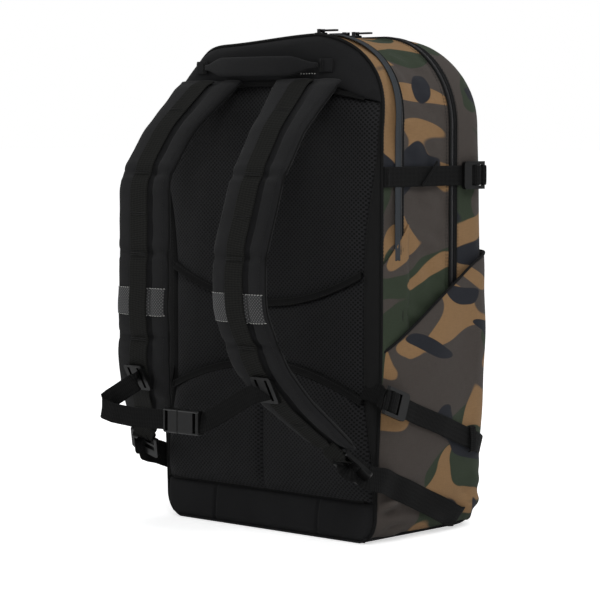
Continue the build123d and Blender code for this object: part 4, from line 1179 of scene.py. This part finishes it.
for side, label in bothSides:
    flip = np.array([side, 1, 1])
    low = label.lower()
    upperAlong = float(alongAt(sideWeb["upperZ"]))

    # Upper side strap: flat on the skin, over the zip, and through its lock.
    y = np.linspace(-84 * mm, 40 * mm, 90)
    flat = skin(upperAlong, y, 1.7 * mm + 0.8 * mm * bell(y, 25 * mm, 14 * mm))
    threaded = [(24, -2.2), (19, -2.2), (16.6, 0), (15, 2.8), (11, 3.3), (7, 2.8), (5.6, 0), (4.4, -2.0)]
    line = rounded(np.concatenate([flat[::6], inLock("upper", threaded)]), 2.4 * mm, 1.4 * mm) * flip
    web = webPiece("upperSideStrap" + label, line, (0, 0, 1), sideWeb["wide"], sideWeb["thick"], 0.1 * mm,
                   None, ["side_strap_upper_" + low])
    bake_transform(web)
    sewn = (flat[4] + (1.2 * mm, 0, 0)) * flip
    barTack("sideTack", sewn, (0, 0, 1), (0, 1, 0), 17 * mm, "pack")

    # A keeper holds its slanting tail.
    tail = np.array([(153.2, -28, 352), (154.6, -22, 358), (154.8, -10, 370), (153.6, -4, 375)]) * mm * flip
    line = rounded(tail, 8 * mm, 1.2 * mm)
    webPiece("keeper" + label, line, (0, 0.75, -0.65), 3.4 * mm, 1.4 * mm, 0.1 * mm, "pack")

    # Its tab comes round the front corner from the bar of the lock.
    y = np.linspace(74 * mm, body["frontY"], 16)
    corner = skin(upperAlong, y, 1.5 * mm)
    ahead = corner[-1] + np.linspace(0, 1, 10)[1:, None] * np.array([-16 * mm, 0, 0])
    loop = inLock("upper", [(-3, 1.4), (0.4, 3.0), (3.2, 0), (0.6, -2.8), (-3, -1.8)])
    line = rounded(np.concatenate([loop, corner, ahead]), 2.4 * mm, 1.4 * mm) * flip
    webPiece("upperTab" + label, line, (0, 0, 1), sideWeb["wide"], 1.5 * mm, 0.1 * mm,
             "front_cover", ["side_tab_upper_" + low])

    # Lower side strap: out of its lock and down across the pocket to the front corner.
    y = np.linspace(-44 * mm, 86 * mm, 70)
    flat = onPocket(y, 146 * mm + (y + 93.5 * mm) * sideWeb["slope"], 2.0 * mm)
    threaded = inLock("lower", threading + [(34, -3.4)])
    line = rounded(np.concatenate([threaded, flat[::5]]), 3 * mm, 1.5 * mm) * flip
    web = webPiece("lowerSideStrap" + label, line, sideWeb["lie"], sideWeb["wide"], sideWeb["thick"], 0.1 * mm,
                   None, ["side_strap_lower_" + low])
    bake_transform(web)
    fromSeam = np.array([(131.5, -89.6, 153), (146, -90.2, 152), (153, -91, 149)]) * mm
    loop = inLock("lower", [(-3, -2.6), (-0.6, -3.0), (3.0, 0.0), (1.0, 3.0), (-2.8, 1.4)])
    line = rounded(np.concatenate([fromSeam, loop]), 2.6 * mm, 1.4 * mm) * flip
    webPiece("lowerTab" + label, line, sideWeb["lie"], sideWeb["wide"], 1.5 * mm, 0.1 * mm,
             "pack", ["side_tab_lower_" + low])
    over = flat[int(np.argmin(np.abs(y - 52 * mm)))]
    wrap = np.array([(0, 0, 13), (2.4, 0, 12), (3.2, 0, 0), (2.4, 0, -12), (0, 0, -13)]) * mm
    line = rounded((over + wrap) * flip, 3 * mm, 1 * mm)
    webPiece("strapLoop" + label, line, (0, 1, 0), 9 * mm, 1.5 * mm, 0.2 * mm, "pack")

    # Lower webbing of the shoulder strap, which bends between the strap and the pack.
    y = np.linspace(-72 * mm, 52 * mm, 70)
    z = np.maximum(79.4 * mm + (y + 120 * mm) * -0.42, 13 * mm)
    flat = onPocket(y, z, 2.6 * mm)
    start = inLock("shoulder", threading + [(27, -2.6), (36, -1.0)])
    bridge = np.array([(158.2, -96, 69.5), (160.0, -84, 63.5)]) * mm
    line = rounded(np.concatenate([start, bridge, flat[::5]]), 4 * mm, 1.5 * mm)
    padded = np.pad(line, ((9, 9), (0, 0)), mode="edge")
    eased = np.stack([np.convolve(padded[:, k], np.ones(19) / 19, mode="valid") for k in range(3)], 1)
    share = smooth(-119 * mm, -104 * mm, line[:, 1]) * smooth(0, 15, np.arange(len(line))[::-1])
    line = line + (eased - line) * share[:, None]
    curl = 0.62 * smooth(-36 * mm, -12 * mm, -line[:, 2]) - 0.45 * smooth(80 * mm, 120 * mm, -line[:, 1])
    line[:, 0] -= 1.6 * mm * smooth(-30 * mm, -13 * mm, -line[:, 2])
    upright = stacked(curl, 0.42, 1.0)
    web = webPiece("lowerWebbing" + label, line * flip, upright * flip, 25 * mm, 1.6 * mm, 0.15 * mm,
                   None, ["lower_webbing_" + low])
    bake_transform(web)
print("side webbing ready")

sternum = {
    "right": [
        (91, -182.0, 157.5), (80, -187.5, 154.5), (70, -190.2, 150), (50, -200, 136),
        (33, -208.8, 124.5), (24, -210, 122), (19, -210, 122),
    ],
    "left": [
        (-91, -186, 157.5), (-79, -192.5, 155.5), (-92, -199.5, 146), (-104, -206, 137),
        (-107, -214, 132), (-102, -221.5, 128), (-86, -221, 124.5), (-62, -217, 122),
        (-40, -212.5, 122), (-24, -210, 122), (-16, -210, 122),
    ],
    "wide": 19.5 * mm, "thick": 1.5 * mm,
}
line = rounded(np.array(sternum["right"]) * mm, 10 * mm, 1.6 * mm)
webPiece("sternumRight", line, (0.15, 0.25, 1), sternum["wide"], sternum["thick"], 0.1 * mm,
         "shoulder_strap_right", ["sternum_web_right"])
line = rounded(np.array(sternum["left"]) * mm, 6 * mm, 1.6 * mm)
web = webPiece("sternumLeft", line, (0, 0.1, 1), sternum["wide"], sternum["thick"], 0.2 * mm,
               None, ["sternum_web_left"])
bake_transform(web)

# The handle: a padded band that bows out from the yoke, narrowing at its sewn ends. Its
# section is a superellipse.
u = np.linspace(-1, 1, 120)
line = stacked(u * handle["half"], handle["y"] - handle["bow"] * (1 - u**2), handle["z"])
angle = np.linspace(0, turn, 41)[:-1]
w = np.sign(np.cos(angle)) * np.abs(np.cos(angle)) ** 0.55
h = np.sign(np.sin(angle)) * np.abs(np.sin(angle)) ** 0.8
wide = handle["wide"] / 2 * (0.3 + 0.7 * smooth(0, 0.42, 1 - np.abs(u)))
deep = 1.7 * mm + 0.9 * mm * smooth(0.15, 0.6, 1 - np.abs(u))
up, face = alongLine(line, (0, 0, 1))[1:]
across, out = wide[:, None] * w, deep[:, None] * h
rings = line[:, None] + up[:, None] * across[..., None] + face[:, None] * out[..., None]
band = tubePiece("handleBand", rings, stacked(across, lengths(line)[:, None]))
dress(band, "grab_handle", [skins["strap"]], ["grab_handle"])
for side, label in bothSides:
    u = np.linspace(0, 1, 12)
    patch = stacked(np.linspace(77.5, 93, 12) * mm * side, -94.2 * mm + 1.6 * mm * u, handle["z"])
    end = ribbon("handleEnd", patch, (0, 0, 1), 13 * mm, 1.8 * mm, 0.3 * mm)
    dress(end, "pack", [skins["black"]])
    sewn = (side * 81 * mm, -95.4 * mm, handle["z"])
    barTack("handleTack", sewn, (0, 0, 1), (1, 0, 0), 11 * mm, "pack")
lowEdge = stacked(np.linspace(54, 72, 12) * mm, -95.4 * mm, 462 * mm)
sewing = stitches("yokeTack", lowEdge, (0, 0, 1), pitch=3.6 * mm, length=1.6 * mm, radius=0.55 * mm)
dress(sewing, "pack", [skins["pale"]])


# A strip of binding tape on the back panel.
def bindingPiece(name, line, lie, wide, thick, crown):
    dress(ribbon(name, line, lie, wide, thick, crown), "pack", [skins["binding"]])


# The yoke's lower edge is bound where the straps come out of it.
x = np.linspace(-116 * mm, 116 * mm, 200)
wider = float(halfWidth(yoke["z"])) / padHalf
bowed = -91.8 * mm - 1.2 * mm * np.sqrt(1 - (x / (132 * mm)) ** 2)
bowed = bowed + 5 * mm * smooth(90 * mm, 116 * mm, np.abs(x))
line = stacked(x * wider, bowed, arcs["yoke"](x) + 0.6 * mm)
bindingPiece("yokeBinding", line, (0, 0.4, 1), 5 * mm, 2.2 * mm, 0.6 * mm)
print("sternum and handle ready")

# Seams sewn round the shell. The last one is in front of the main zip and bends with the cover.
for y in (-82.5, 17.2, 14.4, -51.8, 33.4):
    line = skin(around, y * mm, 0.15 * mm)
    row = stitches("seamStitch", line, (0, 1, 0), radius=0.24 * mm)
    onCover = y * mm > filled["coverY"]
    dress(row, None if onCover else "pack", [skins["thread"]])
    if onCover:
        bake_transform(row)
for y in (19.4, -53.9):
    pipingAlong("zipPiping", skin(around, y * mm, 0.4 * mm), 0.95 * mm, "pack")
line = stacked(np.linspace(-132 * mm, 132 * mm, 200), -88.6 * mm, 42 * mm)
bindingPiece("bootBinding", line, (0, 0, 1), 2.6 * mm, 2.4 * mm, 0.4 * mm)

# Hardware from the CAD nodes: its finish, and a small bevel on its edges.
finishes = {
    "ladder": "plastic", "buckle": "plastic", "sternum_slider": "plastic", "slider": "metal", "pull": "metal",
}
for node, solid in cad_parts.items():
    for key, finish in finishes.items():
        if key in node and "webbing" not in node:
            solid.data.materials.clear()
            solid.data.materials.append(skins[finish])
            rim = solid.modifiers.new("rim", "BEVEL")
            rim.width = 0.35 * mm
            rim.segments = 2
            rim.limit_method = "ANGLE"
            rim.angle_limit = math.radians(35)
            break
print("hardware ready")


def lamp(name, place, target, size, power):
    light = bpy.data.lights.new(name, "AREA")
    light.shape = "DISK"
    light.size = size
    light.energy = power
    holder = bpy.data.objects.new(name, light)
    bpy.context.scene.collection.objects.link(holder)
    holder.location = place
    holder.rotation_euler = (Vector(target) - Vector(place)).to_track_quat("-Z", "Y").to_euler()
    return holder


ground = np.array([[[-30, -30, 0], [30, -30, 0]], [[-30, 30, 0], [30, 30, 0]]], float)
floor = newPiece("floor", ground - np.array([0, 0, 0.0005]), [[0, 1, 3, 2]])
pale, tree, shader = newMaterial("pale floor")
shader.inputs["Base Color"].default_value = (0.93, 0.93, 0.93, 1)
shader.inputs["Roughness"].default_value = 0.9
shader.inputs["Specular IOR Level"].default_value = 0.1
ray = addNode(tree, "ShaderNodeLightPath")
glow = mathNode(tree, "MULTIPLY", ray.outputs["Is Camera Ray"], 0.62)
shader.inputs["Emission Color"].default_value = (1, 1, 1, 1)
tree.links.new(glow, shader.inputs["Emission Strength"])
floor.data.materials.append(pale)
lamps = [
    lamp("key", (1.9, -1.6, 2.2), (0, 0, 0.25), 1.2, 30),
    lamp("fill", (-2.4, -1.6, 1.3), (0, 0, 0.25), 1.6, 14),
    lamp("rim", (1.2, 1.9, 2.0), (0, 0, 0.3), 1.2, 16),
]
sun = bpy.data.lights.new("overhead", "SUN")
sun.energy = 0.75
sun.angle = 0.9
overhead = bpy.data.objects.new("overhead", sun)
bpy.context.scene.collection.objects.link(overhead)

world = bpy.data.worlds.new("studio")
bpy.context.scene.world = world
world.use_nodes = True
tree = world.node_tree
tree.nodes.clear()
lit = addNode(tree, "ShaderNodeBackground", Color=(0.96, 0.98, 1.0, 1), Strength=0.24)
seen = addNode(tree, "ShaderNodeBackground", Color=(1, 1, 1, 1), Strength=1.0)
ray = addNode(tree, "ShaderNodeLightPath")
either = addNode(tree, "ShaderNodeMixShader", i0=ray.outputs["Is Camera Ray"])
tree.links.new(lit.outputs[0], either.inputs[1])
tree.links.new(seen.outputs[0], either.inputs[2])
addNode(tree, "ShaderNodeOutputWorld", Surface=either.outputs[0])
bpy.context.scene.view_settings.view_transform = "Standard"

# A long lens from the wearer's side and a little above the base.
view = {"from": (1.6553, -1.8600, 0.4110), "to": (-0.03434, 0.0, 0.22825), "lens": 143.96}
lens = bpy.data.cameras.new("camera")
lens.lens = view["lens"]
lens.sensor_width = 36
lens.clip_end = 100
camera = bpy.data.objects.new("camera", lens)
bpy.context.scene.collection.objects.link(camera)
camera.location = view["from"]
camera.rotation_euler = (Vector(view["to"]) - Vector(view["from"])).to_track_quat("-Z", "Y").to_euler()
bpy.context.scene.camera = camera
